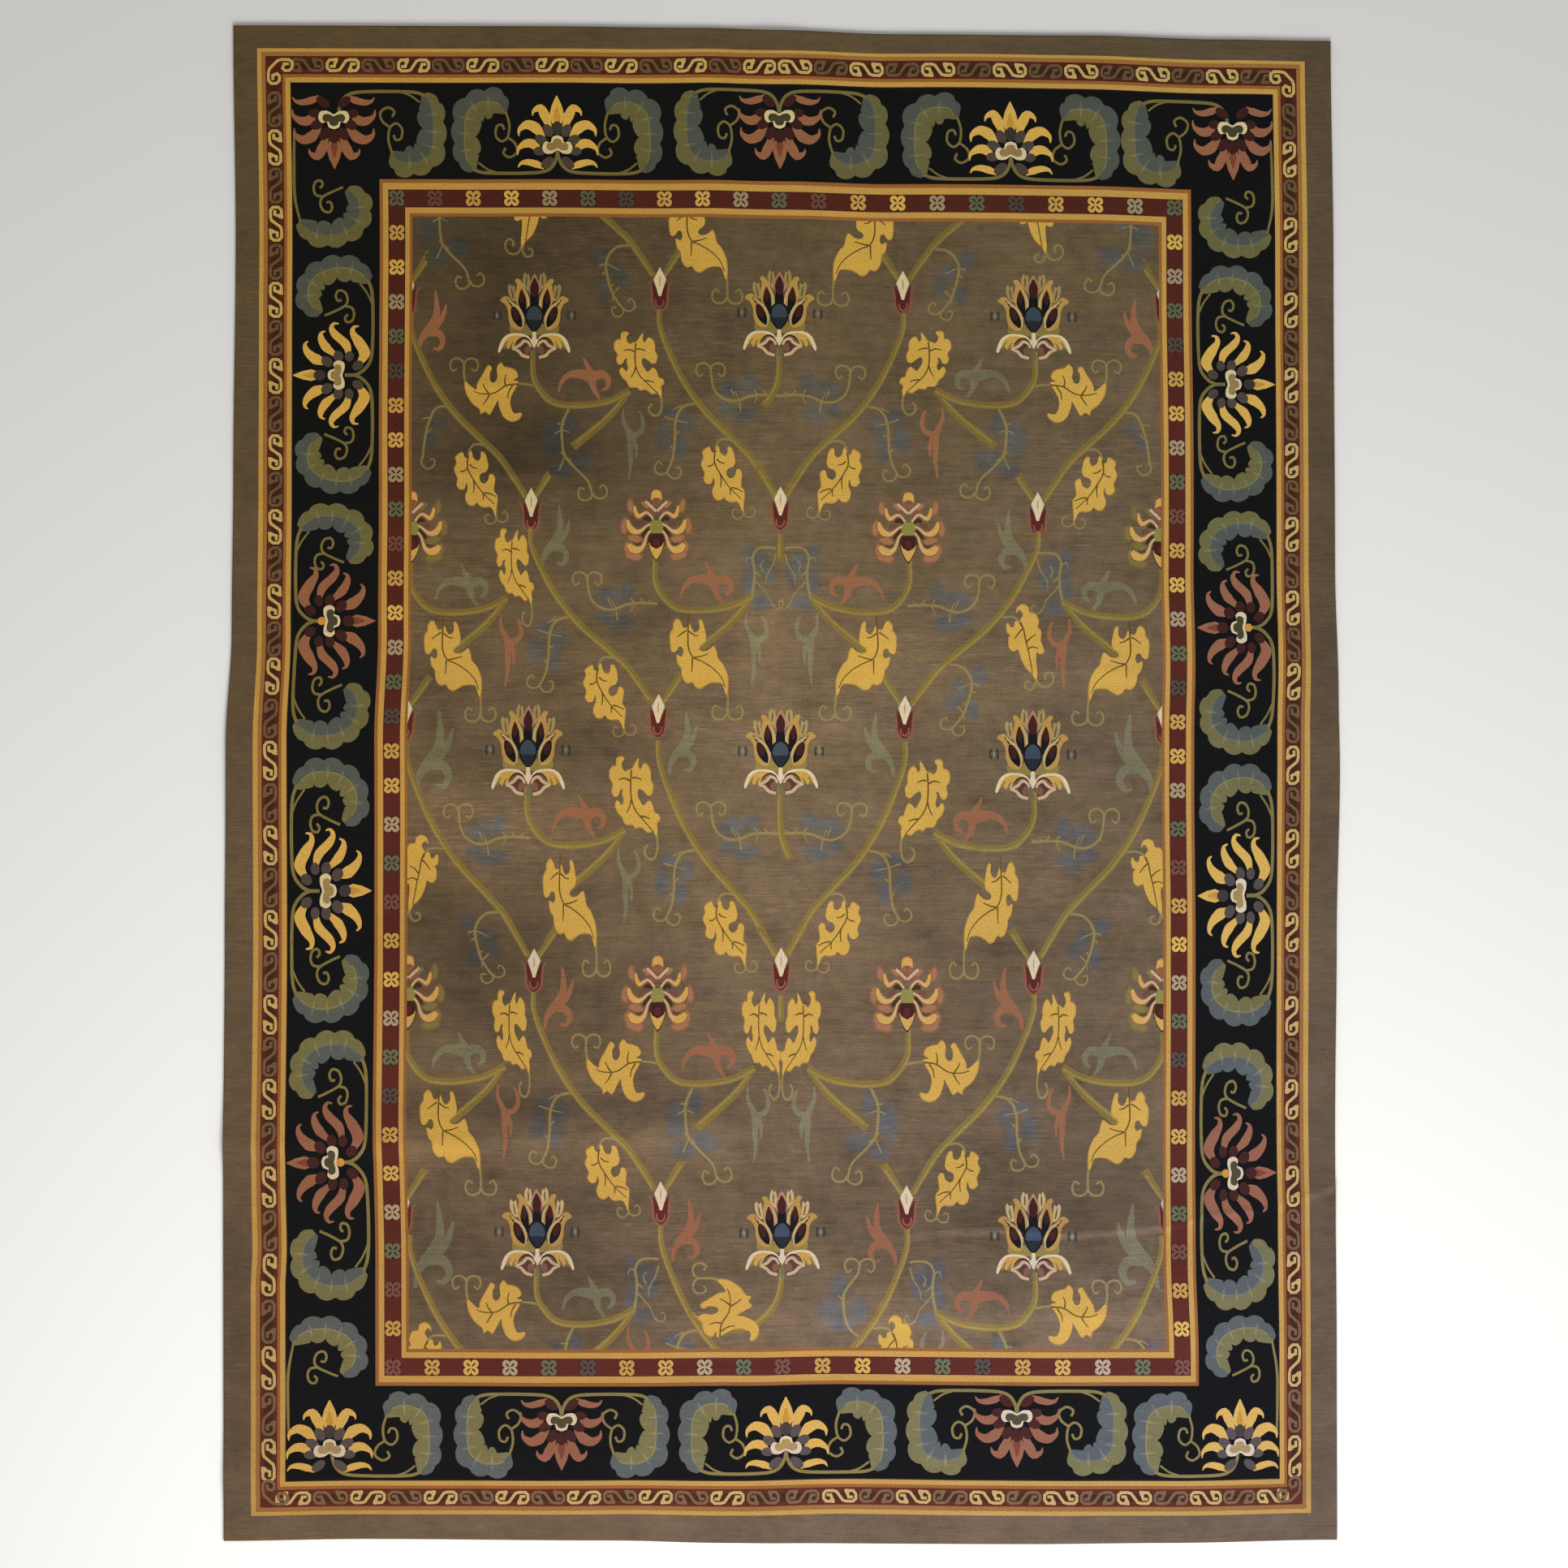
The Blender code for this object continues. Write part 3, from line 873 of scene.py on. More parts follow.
tendrils = {  # path, its fork (x, y, turn, size, arms), twigs across it, soft shadows of blue about it
    "hung": {  # below a palmette's stem
        "path": ((90, -220), (71, -262), (70, -300), (76, -338), (98, -366), (134, -402), (145, -436)),
        "fork": (146, -430, 8, 0.95),
        "twigs": (((52, -286), (70, -278), (90, -284)), ((62, -376), (72, -354), (78, -334)),
                  ((58, -262), (76, -264)), ((92, -352), (80, -344), (66, -330))),
        "shadows": ((46, -300, 46, 80), (92, -262, 30, 50), (116, -352, 60, 44), (66, -372, 50, 36)),
    },
    "drawn": {  # to the side of a palmette's stem
        "path": ((4, -200), (-42, -198), (-76, -202), (-104, -213), (-132, -213), (-158, -196),
                 (-169, -170), (-173, -132)),
        "fork": (-173, -140, 180, 0.95),
        "twigs": (((-98, -240), (-102, -214), (-112, -190)), ((-64, -186), (-56, -200), (-64, -220)),
                  ((-40, -186), (-28, -199), (-10, -190)), ((-122, -186), (-112, -206))),
        "shadows": ((-118, -182, 56, 40), (-72, -168, 34, 44), (-88, -244, 60, 36), (-134, -232, 34, 30)),
    },
    "swung": {  # from the stem above a bud
        "path": ((0, 0), (-42, -7), (-66, -42), (-60, -88), (-46, -126), (-20, -160)),
        "fork": (-22, -154, 26, 0.8),
        "twigs": (((-84, -52), (-64, -48), (-32, -62)), ((-76, -72), (-62, -60)),
                  ((-32, -104), (-46, -118), (-50, -138)), ((-48, -96), (-58, -104))),
        "shadows": ((-84, -28, 36, 40), (-38, -62, 34, 40), (-20, -92, 30, 34), (-70, -110, 26, 44)),
    },
    "parted": {  # higher on a bud's stem
        "path": ((0, 0), (-40, -9), (-59, -42), (-62, -96), (-68, -138), (-82, -168)),
        "fork": (-80, -164, -16, 0.88),
        "twigs": (((-88, -33), (-58, -43), (-30, -49)), ((-44, -5), (-66, -17)), ((-72, -105), (-62, -121)),
                  ((-50, -70), (-62, -80))),
        "shadows": ((-92, -80, 36, 60), (-34, -50, 36, 46), (-46, -104, 30, 56), (-74, -24, 40, 30)),
    },
    "wound": {  # from a palmette's junction up to the stem of the bud beside it
        "path": ((238, -184), (244, -154), (246, -118), (242, -86), (252, -66), (272, -60), (300, -62)),
        "fork": (292, -200, 4, 0.62, 1),
        "twigs": (((246, -140), (262, -158), (278, -176), (291, -206)),
                  ((300, -76), (292, -104), (278, -126), (274, -150)), ((244, -92), (230, -84), (224, -98)),
                  ((268, -120), (262, -104), (270, -92)), ((248, -120), (262, -132))),
        "shadows": ((232, -80, 34, 48), (264, -96, 40, 46), (236, -144, 38, 60), (282, -120, 30, 60),
                    (262, -196, 52, 34)),
    },
    "looped": {  # up from the last stem at the near end
        "path": ((0, 0), (22, 12), (38, 38), (44, 76), (42, 108), (26, 133), (8, 157), (4, 181)),
        "fork": (4, 176, 180, 0.95),
        "twigs": (((44, 90), (56, 104)),),
        "shadows": ((52, 126, 44, 50), (76, 64, 56, 60), (8, 70, 44, 46), (44, 38, 60, 40)),
    },
    "single": {  # one curl from the stem above a bud
        "path": ((0, 0), (-36, -4), (-56, -44), (-66, -92), (-70, -128)),
        "fork": (-70, -124, -40, 0.9, 1),
        "twigs": (((-70, -30), (-50, -26)), ((-48, -54), (-56, -64))),
        "shadows": ((-28, -40, 34, 30), (-50, -74, 26, 36)),
    },
}


def tendrilMotif(kind):
    item = tendrils[kind]
    motif = []
    for grow, wool in ((1.35, "shadowEdge"), (0.95, "shadow")):
        for x, y, wide, tall in item["shadows"]:
            motif.append((wool, placed(ragged, x, y, 0, wide * grow / 2, tall * grow / 2)))
    motif += forked(*item["fork"])
    motif.append(("tendril", ribbon(item["path"], (7, field["tendril"]), 5.0)))
    motif += [("tendril", ribbon(twig, (field["twig"], 2.4), 5.0)) for twig in item["twigs"]]
    return motif


def flamePalmette(crown="crown"):
    # pointed flames round a dome, on wings and drops
    half = [
        ("oliveSoft", blob(((2, -20), (22, -18), (34, -26), (46, -24), (58, -14), (62, -24), (62, -36),
                            (50, -45), (26, -44), (2, -44)))),
        (crown, blob(((9, 66), (12, 92), (15, 106), (19, 101), (23, 109), (28, 101), (30, 88), (25, 74),
                      (16, 62)))),
        ("crownDark", ribbon(((21, 76), (20, 90), (21, 100)), (3, 4, 2))),
        (crown, blob(((44, 40), (48, 58), (51, 78), (57, 73), (62, 80), (67, 74), (66, 60), (62, 48),
                      (54, 38)))),
        ("crownDark", ribbon(((53, 44), (56, 58), (58, 70)), (3, 4, 2))),
        ("flameEdge", blob(((32, -32), (48, -30), (60, -20), (65, -4), (66, 12), (70, 24), (76, 32),
                            (86, 38), (84, 44), (74, 50), (64, 47), (56, 36), (44, 28), (32, 16), (27, -2),
                            (28, -18)))),
        ("flameEdge", blob(((13, 24), (14, 40), (17, 54), (23, 67), (26, 78), (32, 84), (37, 91), (45, 93),
                            (49, 87), (44, 79), (46, 64), (48, 48), (45, 34), (40, 24), (34, 10)))),
        ("black", blob(((32, 68), (27, 58), (22, 46), (20, 28), (20, 2), (30, 6), (37, 22), (41, 36),
                        (39, 52), (36, 62)))),
        ("plum", blob(((32, 66), (27, 56), (26, 42), (31, 32), (38, 40), (39, 52), (36, 61)))),
        ("black", blob(((33, -26), (43, -21), (54, -8), (59, 10), (57, 25), (47, 22), (39, 12), (32, -4),
                        (30, -18)))),
        ("plum", blob(((40, -6), (49, -6), (55, 8), (55, 22), (47, 19), (40, 10)))),
        ("brownDark", ribbon(((57, 26), (62, 34), (68, 42)), (4, 4, 2))),
        ("flamePale", ribbon(((64, 38), (50, 29), (39, 20), (31, 7), (27, -8), (29, -24)),
                             (3, 4, 5, 5, 4, 3))),
        ("flamePale", ribbon(((24, 66), (17, 50), (14, 34), (13, 22)), (2, 4, 5, 3))),
        ("cream", blob(((6, -62), (14, -49), (26, -43), (42, -41), (62, -42), (77, -51), (86, -66),
                        (91, -84), (87, -88), (80, -76), (72, -64), (56, -56), (40, -52), (24, -52),
                        (14, -60), (9, -70)))),
        ("wingGold", blob(((30, -48), (44, -46), (60, -48), (72, -57), (80, -74), (72, -72), (66, -80),
                           (60, -73), (52, -76), (46, -62), (36, -54)))),
        ("stem", ribbon(((76, -80), (72, -68), (66, -60)), (5, 4, 2))),
        ("stem", ribbon(((60, -80), (58, -70), (52, -62)), (4, 4, 2))),
        ("plum", ribbon(((8, -68), (14, -57), (26, -51), (38, -56), (47, -66)), (3, 4, 4, 4, 2))),
        ("drop", blob(((9, -74), (16, -65), (27, -64), (37, -74), (36, -84), (27, -94), (14, -96)))),
        ("dropInner", oval(17, -82, 16, 22, 20)),
        ("pinkCream", ribbon(((8, -74), (15, -63), (26, -60), (36, -70), (55, -79)), (5, 6.5, 7, 7, 5), 4)),
        ("pinkCream", ribbon(((55, -78), (40, -84), (29, -95), (12, -100)), (5, 7, 8, 7), 4)),
    ]
    motif = mirrored(half)
    motif += [
        ("crownRose", blob(((-13, 58), (-14, 76), (-7, 94), (0, 105), (7, 94), (14, 76), (13, 58)))),
        ("black", blob(((-10, 16), (-9, 54), (0, 70), (9, 54), (10, 16)))),
        ("plum", blob(((-9, 56), (-11, 72), (-6, 86), (0, 95), (6, 86), (11, 72), (9, 56), (0, 48)))),
        ("black", blob(((-17, -22), (-23, -2), (-21, 16), (-10, 28), (0, 31), (10, 28), (21, 16), (23, -2),
                        (17, -22), (0, -38)))),
        ("dome", blob(((-19, -5), (-17, 12), (-8, 23), (0, 26), (8, 23), (17, 12), (19, -5), (10, -9),
                       (-10, -9)))),
        ("domeDark", blob(((-16, -9), (16, -9), (10, -24), (0, -35), (-10, -24)))),
        ("cream", blob(((-4, -38), (4, -38), (5, -50), (8, -60), (4, -70), (0, -77), (-4, -70), (-8, -60),
                        (-5, -50)))),
        ("olive", ribbon(((0, -78), (0, -92), (0, -104)), (4, 9, 11))),
    ]
    for x in (-94, 94):
        motif += [("crossDark", placed(ragged, x + aside, 3, 0, 4, 13)) for aside in (-8, 8)]
        motif += [("shadowEdge", placed(ragged, x, 3, 0, 8, 9)), ("crossLight", oval(x, 3, 5, 15, 0, 8))]
    return motif


def starPalmette(glow="peach", glowDark="peachDark"):
    # curled sepals with a warm blush behind each tip, about a green star and over a dark bud
    sepals = (  # path, widths
        (((8, 7), (18, 20), (27, 24), (37, 18), (45, 14), (52, 24), (55, 40)), (5, 5, 6, 7, 11, 9, 5)),
        (((14, -4), (26, -10), (36, -19), (47, -24), (60, -20), (69, -8), (72, 6)), (5, 5, 7, 11, 15, 12, 6)),
        (((14, -20), (23, -31), (28, -46), (34, -60), (46, -68), (60, -65), (70, -54)),
         (5, 5, 6, 9, 16, 19, 11)),
    )
    blushes = ((64, 40, 20, 38, -8), (79, -9, 22, 44, 6), (55, -82, 46, 26, 8), (53, -40, 40, 22, 12),
               (72, -62, 20, 34, 0))
    half = [(glowDark, placed(ragged, x, y, turn, w / 2 + 2, t / 2 + 2)) for x, y, w, t, turn in blushes]
    half += [(glow, placed(ragged, x + 1, y, turn, w / 2 - 3, t / 2 - 3)) for x, y, w, t, turn in blushes]
    half += [("rustSoft", ribbon(((2, 24), (16, 36), (32, 50)), (10, 18, 16))),
             (glow, ribbon(((22, 36), (36, 50)), (8, 9))),
             ("brownDark", ribbon(((12, 4), (24, 10), (33, 6)), (6, 13, 6))),
             ("mauveRose", ribbon(((28, -2), (38, -3), (46, -10)), (9, 14, 8))),
             ("brownDark", ribbon(((18, -14), (28, -24), (36, -36)), (7, 9, 6))),
             ("oliveDark", ribbon(((38, -50), (46, -56), (54, -52)), (5, 7, 4)))]
    for path, widths in sepals:
        half += [("glowWarm", ribbon(path, np.array(widths) + (2, 3, 4, 5, 5, 5, 4)))]
    for path, widths in sepals:
        half += [("yellowPale", ribbon(path, widths)), ("pinkCream", ribbon(path[:5], (4, 4.5, 4.5, 4, 2)))]
    half += [("pinkCream", ribbon(((1, 27), (14, 39), (27, 51)), (6, 7, 6)))]
    motif = mirrored(half)
    motif += [
        ("glowWarm", blob(((-15, 64), (-12, 77), (0, 82), (12, 77), (15, 64), (14, 52), (0, 38), (-14, 52)))),
        ("yellowPale", blob(((-13, 64), (-10, 75), (0, 79), (10, 75), (13, 64), (13, 54), (7, 59), (-7, 59),
                             (-13, 54)))),
        ("rustSoft", blob(((-7, 57), (0, 60), (7, 57), (0, 41)))),
        ("stemLight", blob(((-14, -2), (-10, 6), (0, 4), (10, 6), (14, -2), (16, -16), (12, -26), (0, -28),
                            (-12, -26), (-16, -16)))),
        ("brownDark", blob(((-20, -36), (-14, -28), (14, -28), (20, -36), (22, -50), (15, -70), (0, -96),
                            (-15, -70), (-22, -50)))),
        ("yellowPale", blob(((-19, -49), (-15, -66), (-7, -83), (0, -91), (7, -83), (15, -66), (19, -49),
                             (11, -60), (-11, -60)))),
        ("plum", blob(((-16, -38), (-12, -29), (12, -29), (16, -38), (14, -54), (0, -65), (-14, -54)))),
        ("maroonBud", oval(0, -49, 18, 20)),
    ]
    return motif


def budMotif():
    half = [("rustSoft", ribbon(((-4, -76), (-16, -64), (-20, -46), (-20, -26), (-24, -10), (-31, -2)),
                                (6, 6, 6, 6, 6, 5)))]
    motif = mirrored(half)
    motif += [
        ("maroonBud", blob(((-19, -4), (-17, -34), (-14, -58), (0, -73), (14, -58), (17, -34), (19, -4),
                            (8, -20), (-8, -20)))),
        ("rustPink", ribbon(((-11, -46), (-9, -60), (0, -66), (9, -57), (9, -48)), (4, 5, 5, 4, 3))),
        ("cream", np.array([(0, 33), (-8, 18), (-16, 3), (-10, -14), (-3, -38), (3, -38), (10, -14),
                            (16, 3), (8, 18)])),
        ("beige", oval(0, 0, 3.5, 28, 0, 8)),
    ]
    return motif


shapes = {"flame": flamePalmette(), "flameNear": flamePalmette("crownPale"),
          "star": starPalmette(), "edgeStar": starPalmette("oliveBlush", "oliveGlow"), "bud": budMotif()}
for kind in leaves:
    shapes[kind] = leafMotif(kind)
for kind in tendrils:
    shapes[kind] = tendrilMotif(kind)

# half, across, along, kind, stretch, side item, hanging item, leaf at the junction (wide, tall),
# wool of the flying sprig, wool of the hanging sprig
palmettes = (
    ("left", -617, 1142, "flame", 1.00, "side", "hung", (1.0, 1.0), "coral", "sage"),
    ("right", -619, 1152, "flame", 1.00, "side", "hung", (1.0, 1.0), "sage", "coral"),
    ("left", -626, 78, "flame", 1.06, "drawn", "broad", (1.0, 1.16), "coral", "sage"),
    ("right", -612, 74, "flame", 1.06, "drawn", "broad", (1.0, 1.16), "coral", None),
    ("left", -606, -1102, "flameNear", 1.03, "side", "hung", None, "sage", "coral"),
    ("right", -610, -1112, "flameNear", 1.03, "side", "hung", None, "coral", "sage"),
    ("both", -311, 640, "star", 1.00, "drawn", "broad", None, "coral", "sage"),
    ("left", -305, -507, "star", 1.06, "side", "hung", (0.78, 1.22), "coral", "sage"),
    ("right", -305, -509, "star", 1.06, "side", "hung", (0.78, 1.22), None, "sage"),
    ("left", -924, 634, "edgeStar", 1.00, None, "broad", (0.78, 1.16), "sage", "coral"),
    ("right", -924, 634, "edgeStar", 1.00, None, "broad", None, "sage", "coral"),
    ("both", -922, -506, "edgeStar", 1.04, None, "broad", (0.78, 1.22), "sage", "coral"),
    ("both", -310, 1660, None, 1.00, None, "broad", None, None, None),
    ("both", -926, 1660, None, 1.00, None, "hung", None, None, None),
)
# half, place, the bud above it, item beside it, item higher up, the lower item's place on the stem,
# the sprig's wool and its size
buds = (
    ("both", -936, 1216, (-1240, 1740), None, None, 0.75, "coral", 1.0),
    ("both", -930, 178, (-1240, 700), None, None, 0.75, "sage", 1.3),
    ("both", -936, -1030, (-1240, -436), None, None, 0.75, "sage", 1.36),
    ("both", -301, 1232, (-620, 1744), "swung", None, 0.83, None, 1.0),
    ("both", -625, 690, (-926, 1216), "narrow", "single", 0.73, "sage", 1.0),
    ("both", 0, 696, (-301, 1232), "narrow", "parted", 0.72, None, 1.0),
    ("left", -304, 186, (-625, 690), "narrow", "parted", 0.75, "sage", 1.0),
    ("right", -301, 186, (-625, 690), "swung", "straight", 0.78, "sage", 1.0),
    ("both", -611, -438, (-924, 178), "swung", "straight", 0.80, "coral", 1.0),
    ("both", 0, -436, (-302, 186), "narrow", "parted", 0.73, None, 1.0),
    ("left", -299, -1008, (-611, -438), "narrow", "parted", 0.75, "coral", 1.0),
    ("right", -303, -1020, (-611, -438), "narrow", "parted", 0.76, "coral", 1.0),
    ("left", -606, -1620, (-920, -1030), None, "straight", 0.5, None, 1.0),
    ("right", -606, -1620, (-920, -1030), None, "parted", 0.5, None, 1.0),
    ("left", 0, -1600, (-299, -1008), None, "parted", 0.5, None, 1.0),
    ("right", 0, -1600, (-303, -1020), "looped", "straight", 0.59, None, 1.0),
)
stemPlaces = ((0.0, 0.13), (0.0, 0.20), (0.06, 0.30), (0.20, 0.46), (0.38, 0.60), (0.60, 0.72), (0.745, 0.80),
              (0.855, 0.89), (0.955, 0.98))   # shares of the way across and down from one bud to the next


hangings = {  # what hangs about a palmette: places, or a stem's path and widths, mm from its heart
    "flying": (160, -194),
    "hanging": (246, -186),
    "broad": (82, -226),
    "broadUnderFlame": (82, -236, 0, 0.9, 1.1),
    "side": (-40, -165),
    "column": (235, -188, 0),
    "stem": (((-2, -84), (-1, -148), (24, -191), (57, -213), (118, -217), (186, -206), (240, -180)),
             (12, 15, 17, 17, 17, 17, 17)),
    "lowerStem": (((238, -186), (186, -246), (97, -319)), (12, 18, 21)),
    "sideStem": (((12, -172), (-16, -166), (-38, -164)), (6, 5)),
}


def palmetteUnit(kind, side, hang, junction, near, far):
    unit, over = [], []
    if hang == "hung":
        unit += shapes["hung"]
    if side == "drawn":
        unit += shapes["drawn"]
    if kind and not junction:
        unit += shapes["wound"]
    if near:
        put(unit, sprig("flying", near), *hangings["flying"])
    if far:
        put(unit, sprig("hanging", far), *hangings["hanging"])
    if kind:
        over += bough(*hangings["lowerStem"])
    if hang == "broad":
        put(over, shapes["broad"], *hangings["broadUnderFlame" if kind == "flame" else "broad"])
    if kind:
        over += bough(*hangings["stem"])
    if side == "side":
        unit.append(("tendril", ribbon(*hangings["sideStem"])))
        put(over, shapes["side"], *hangings["side"])
    if junction:
        put(over, shapes["column"], *hangings["column"], *junction)
    return unit + over + (shapes[kind] if kind else [])


higherPlace = 0.56   # how far down the stem the higher item sits
leafRoots = {"narrow": (42, 30), "straight": (62, 14)}   # from a leaf's root to the stem it grows on, mm


def budUnit(x, y, above, beside, higher, leafPlace, sprigWool, sprigSize):
    across, down = x - above[0], above[1] - y
    path = np.array(stemPlaces) * (across, -down) + above
    unit = []

    def onStem(share):
        return np.interp(share, *np.array(stemPlaces).T[::-1]) * across + above[0], above[1] - share * down

    items = [(name, onStem(share)) for name, share in ((beside, leafPlace), (higher, higherPlace))]
    for name, at in items:
        if name in tendrils:
            put(unit, shapes[name], *at)
    unit += bough(path, (12, 13, 15, 17, 18, 18, 18, 17, 14))
    put(unit, bough(((8, 10), (32, 46), (56, 84)), (12, 17, 20)), x, y)
    if sprigWool:
        put(unit, sprig("rising", sprigWool), x + 27, y - 44 - 120 * sprigSize, 0, sprigSize, sprigSize)
    for name, at in items:
        if name in leafRoots:
            put(unit, shapes[name], at[0] - leafRoots[name][0], at[1] - leafRoots[name][1])
    put(unit, shapes["bud"], x, y)
    return unit


fieldArt = [("ground", frameOf(*innerGuard["field"]))]
middlePlaces = (("flame", 1152), ("flame", 76), ("flameNear", -1106), ("bud", 696), ("bud", -436))
budStem = (((0, -84), (0, -120), (0, -150)), (12, 15, 16))
# the middle palmettes' stems bend away to one side and then the other: along, path from the palmette, widths
centreStems = (
    (1152, ((0, -84), (-2, -150), (-14, -190), (-40, -226)), (12, 15, 17, 18)),
    (76, ((0, -84), (-2, -160), (4, -214), (24, -262)), (12, 15, 17, 18)),
    (-1106, ((0, -84), (-6, -140), (-26, -184), (-66, -220), (-110, -234), (-160, -230), (-206, -212),
             (-232, -186)),
     (12, 15, 17, 18, 18, 16, 14, 10)),
)
farLeaves = (-612, 1446)   # a leaf above each outer palmette of the far row
nearLeaf = (-155, -1358, 90, -1.06, 1.06)   # the one leaf that hangs from the last stem at the near end


def drawField():
    halves = {"left": [], "right": []}
    for hand, half in halves.items():
        for on, *row in buds:
            if on in ("both", hand):
                half += budUnit(*row)
        for on, x, y, kind, stretch, *items in palmettes:
            if on in ("both", hand):
                put(half, palmetteUnit(kind, *items), x, y, 0, 1, stretch)
        for kind, y in middlePlaces:
            if kind == "flame":
                put(half, shapes["drawn"], 0, y)
        put(half, shapes["straight"], *farLeaves)
    fieldArt.extend(halves["left"] + flipped(halves["right"]))
    for y, path, widths in centreStems:
        put(fieldArt, bough(path, widths), 0, y)
    put(fieldArt, shapes["side"], *nearLeaf)
    for kind, y in middlePlaces:
        if kind == "bud":
            put(fieldArt, bough(*budStem), 0, y)
        put(fieldArt, shapes[kind], 0, y)


drawField()
print("drawn:", ", ".join(f"{len(art)} shapes" for art in (outerArt, borderArt, innerArt, fieldArt)))


def insideOf(points, outline):
    x1, y1 = outline.T
    x2, y2 = np.roll(outline, -1, 0).T
    px, py = points[:, :1], points[:, 1:]
    crosses = (y1 > py) != (y2 > py)
    dy = np.where(y2 == y1, 1.0, y2 - y1)
    right = px < x1 + (py - y1) * (x2 - x1) / dy
    return (np.where(crosses & right, np.sign(y2 - y1), 0).sum(1)) != 0


def woolsAt(art, centres):
    # the last shape drawn over a face gives its wool
    wool = np.zeros(len(centres), int)
    order = np.argsort(centres[:, 1], kind="stable")
    rows = centres[order]
    for name, outline in art:
        low, high = outline.min(0), outline.max(0)
        first, last = np.searchsorted(rows[:, 1], (low[1], high[1]))
        near = np.arange(first, last)
        near = near[(rows[near, 0] > low[0]) & (rows[near, 0] < high[0])]
        if len(near):
            hit = near if len(outline) == 4 else near[insideOf(rows[near], outline)]
            wool[order[hit]] = woolNames.index(name)
    return wool


joinedWithin = 0.02   # mm, points closer than this become one


def cut(outlines, grid, lines=()):
    points, edges = [], []
    for outline in outlines:
        first, count = len(points), len(outline)
        points.extend(outline)
        edges.extend((first + i, first + (i + 1) % count) for i in range(count))
    for line in lines:
        first, count = len(points), len(line)
        points.extend(line)
        edges.extend((first + i, first + i + 1) for i in range(count - 1))
    points = np.vstack([np.array(points), grid])
    made = delaunay_2d_cdt([Vector(p) for p in points], edges, [], 0, joinedWithin, True)
    return np.array([tuple(p) for p in made[0]]), np.array(made[2]), made[3]


def within(points, corners):
    return (np.abs(points[:, 0]) < corners[2][0]) & (np.abs(points[:, 1]) < corners[2][1])


def gridIn(outer, hole, cell):
    u, v = outer[2]
    us = np.linspace(-u, u, int(2 * u / cell) + 1)[1:-1]
    vs = np.linspace(-v, v, int(2 * v / cell) + 1)[1:-1]
    grid = np.stack(np.meshgrid(us, vs), -1).reshape(-1, 2)
    bent = creaseRows()
    grid = np.vstack([grid, bent[within(bent, outer - np.sign(outer) * 3)]])
    if hole is not None:
        grid = grid[~within(grid, hole + np.sign(hole) * 3)]
    return grid


def kept(points, faces, outer, hole):
    centres = points[faces].mean(1)
    keep = within(centres, outer)
    if hole is not None:
        keep &= ~within(centres, hole)
    a, b, c = (points[faces[:, k]] for k in range(3))
    turned = (b[:, 0] - a[:, 0]) * (c[:, 1] - a[:, 1]) - (b[:, 1] - a[:, 1]) * (c[:, 0] - a[:, 0])
    faces[turned < 0] = faces[turned < 0][:, ::-1]
    return faces[keep]


def loopsOf(faces):
    # the open edges of a sheet as ordered loops, the sheet on their left
    edges = np.vstack([faces[:, [0, 1]], faces[:, [1, 2]], faces[:, [2, 0]]])
    size = int(faces.max()) + 1
    code, back = edges[:, 0] * size + edges[:, 1], edges[:, 1] * size + edges[:, 0]
    after = dict(edges[~np.isin(code, back)].tolist())
    loops = []
    while after:
        start, nextOne = after.popitem()
        loop = [start]
        while nextOne != start:
            loop.append(nextOne)
            nextOne = after.pop(nextOne)
        loops.append(np.array(loop))
    return loops


def ringStrips(outer, hole, cuts):
    # a ring unrolled: its long sides whole, the ends between them, each in so many strips
    (u, v), (iu, iv) = outer[2], hole[2]
    strips = []
    for side in (-1, 1):
        across = sorted((side * u, side * iu))
        for k in range(cuts[0]):
            strips.append((*across, -v + 2 * v * k / cuts[0], -v + 2 * v * (k + 1) / cuts[0], True))
    for side in (-1, 1):
        across = sorted((side * v, side * iv))
        for k in range(cuts[1]):
            strips.append((-iu + 2 * iu * k / cuts[1], -iu + 2 * iu * (k + 1) / cuts[1], *across, False))
    return strips


bakeMap = {  # where the parts of a piece lie on its bake map, as shares of its height and width
    "hidden": (0.004, 0.024),   # start and height
    "walls": (0.034, 0.042),    # start and end of the first row
    "wallStep": 0.012,
    "hiddenAcross": (0.01, 0.98),   # start and width, of the walls too
    "pile": (0.06, 0.995),      # start and end
    "pileAcross": (0.005, 0.99),
    "pileRoom": 2.0,            # mm left free round each strip
    "hiddenRoom": 20,
}


def bakePlaces(flat, stripOf, strips, outer, room):
    # where each corner lies on the bake's map: strips one above another, or the whole field
    (low, high), (start, wide) = bakeMap["pile"], bakeMap["pileAcross"]
    if not strips:
        u, v = outer[2] + room
        return np.stack([start + wide * (flat[:, 0] + u) / (2 * u),
                         low + (high - low) * (flat[:, 1] + v) / (2 * v)], 1)
    out = np.zeros_like(flat)
    longest = max((s[3] - s[2]) if s[4] else (s[1] - s[0]) for s in strips) + 2 * room
    thickest = max((s[1] - s[0]) if s[4] else (s[3] - s[2]) for s in strips) + 2 * room
    for row, (u0, u1, v0, v1, upright) in enumerate(strips):
        here = stripOf == row
        along, across = flat[here, 0] - u0, flat[here, 1] - v0
        if upright:
            along, across = across, along
        out[here, 0] = start + wide * (along + room) / longest
        out[here, 1] = low + (high - low) * (row + (across + room) / thickest) / len(strips)
    return out


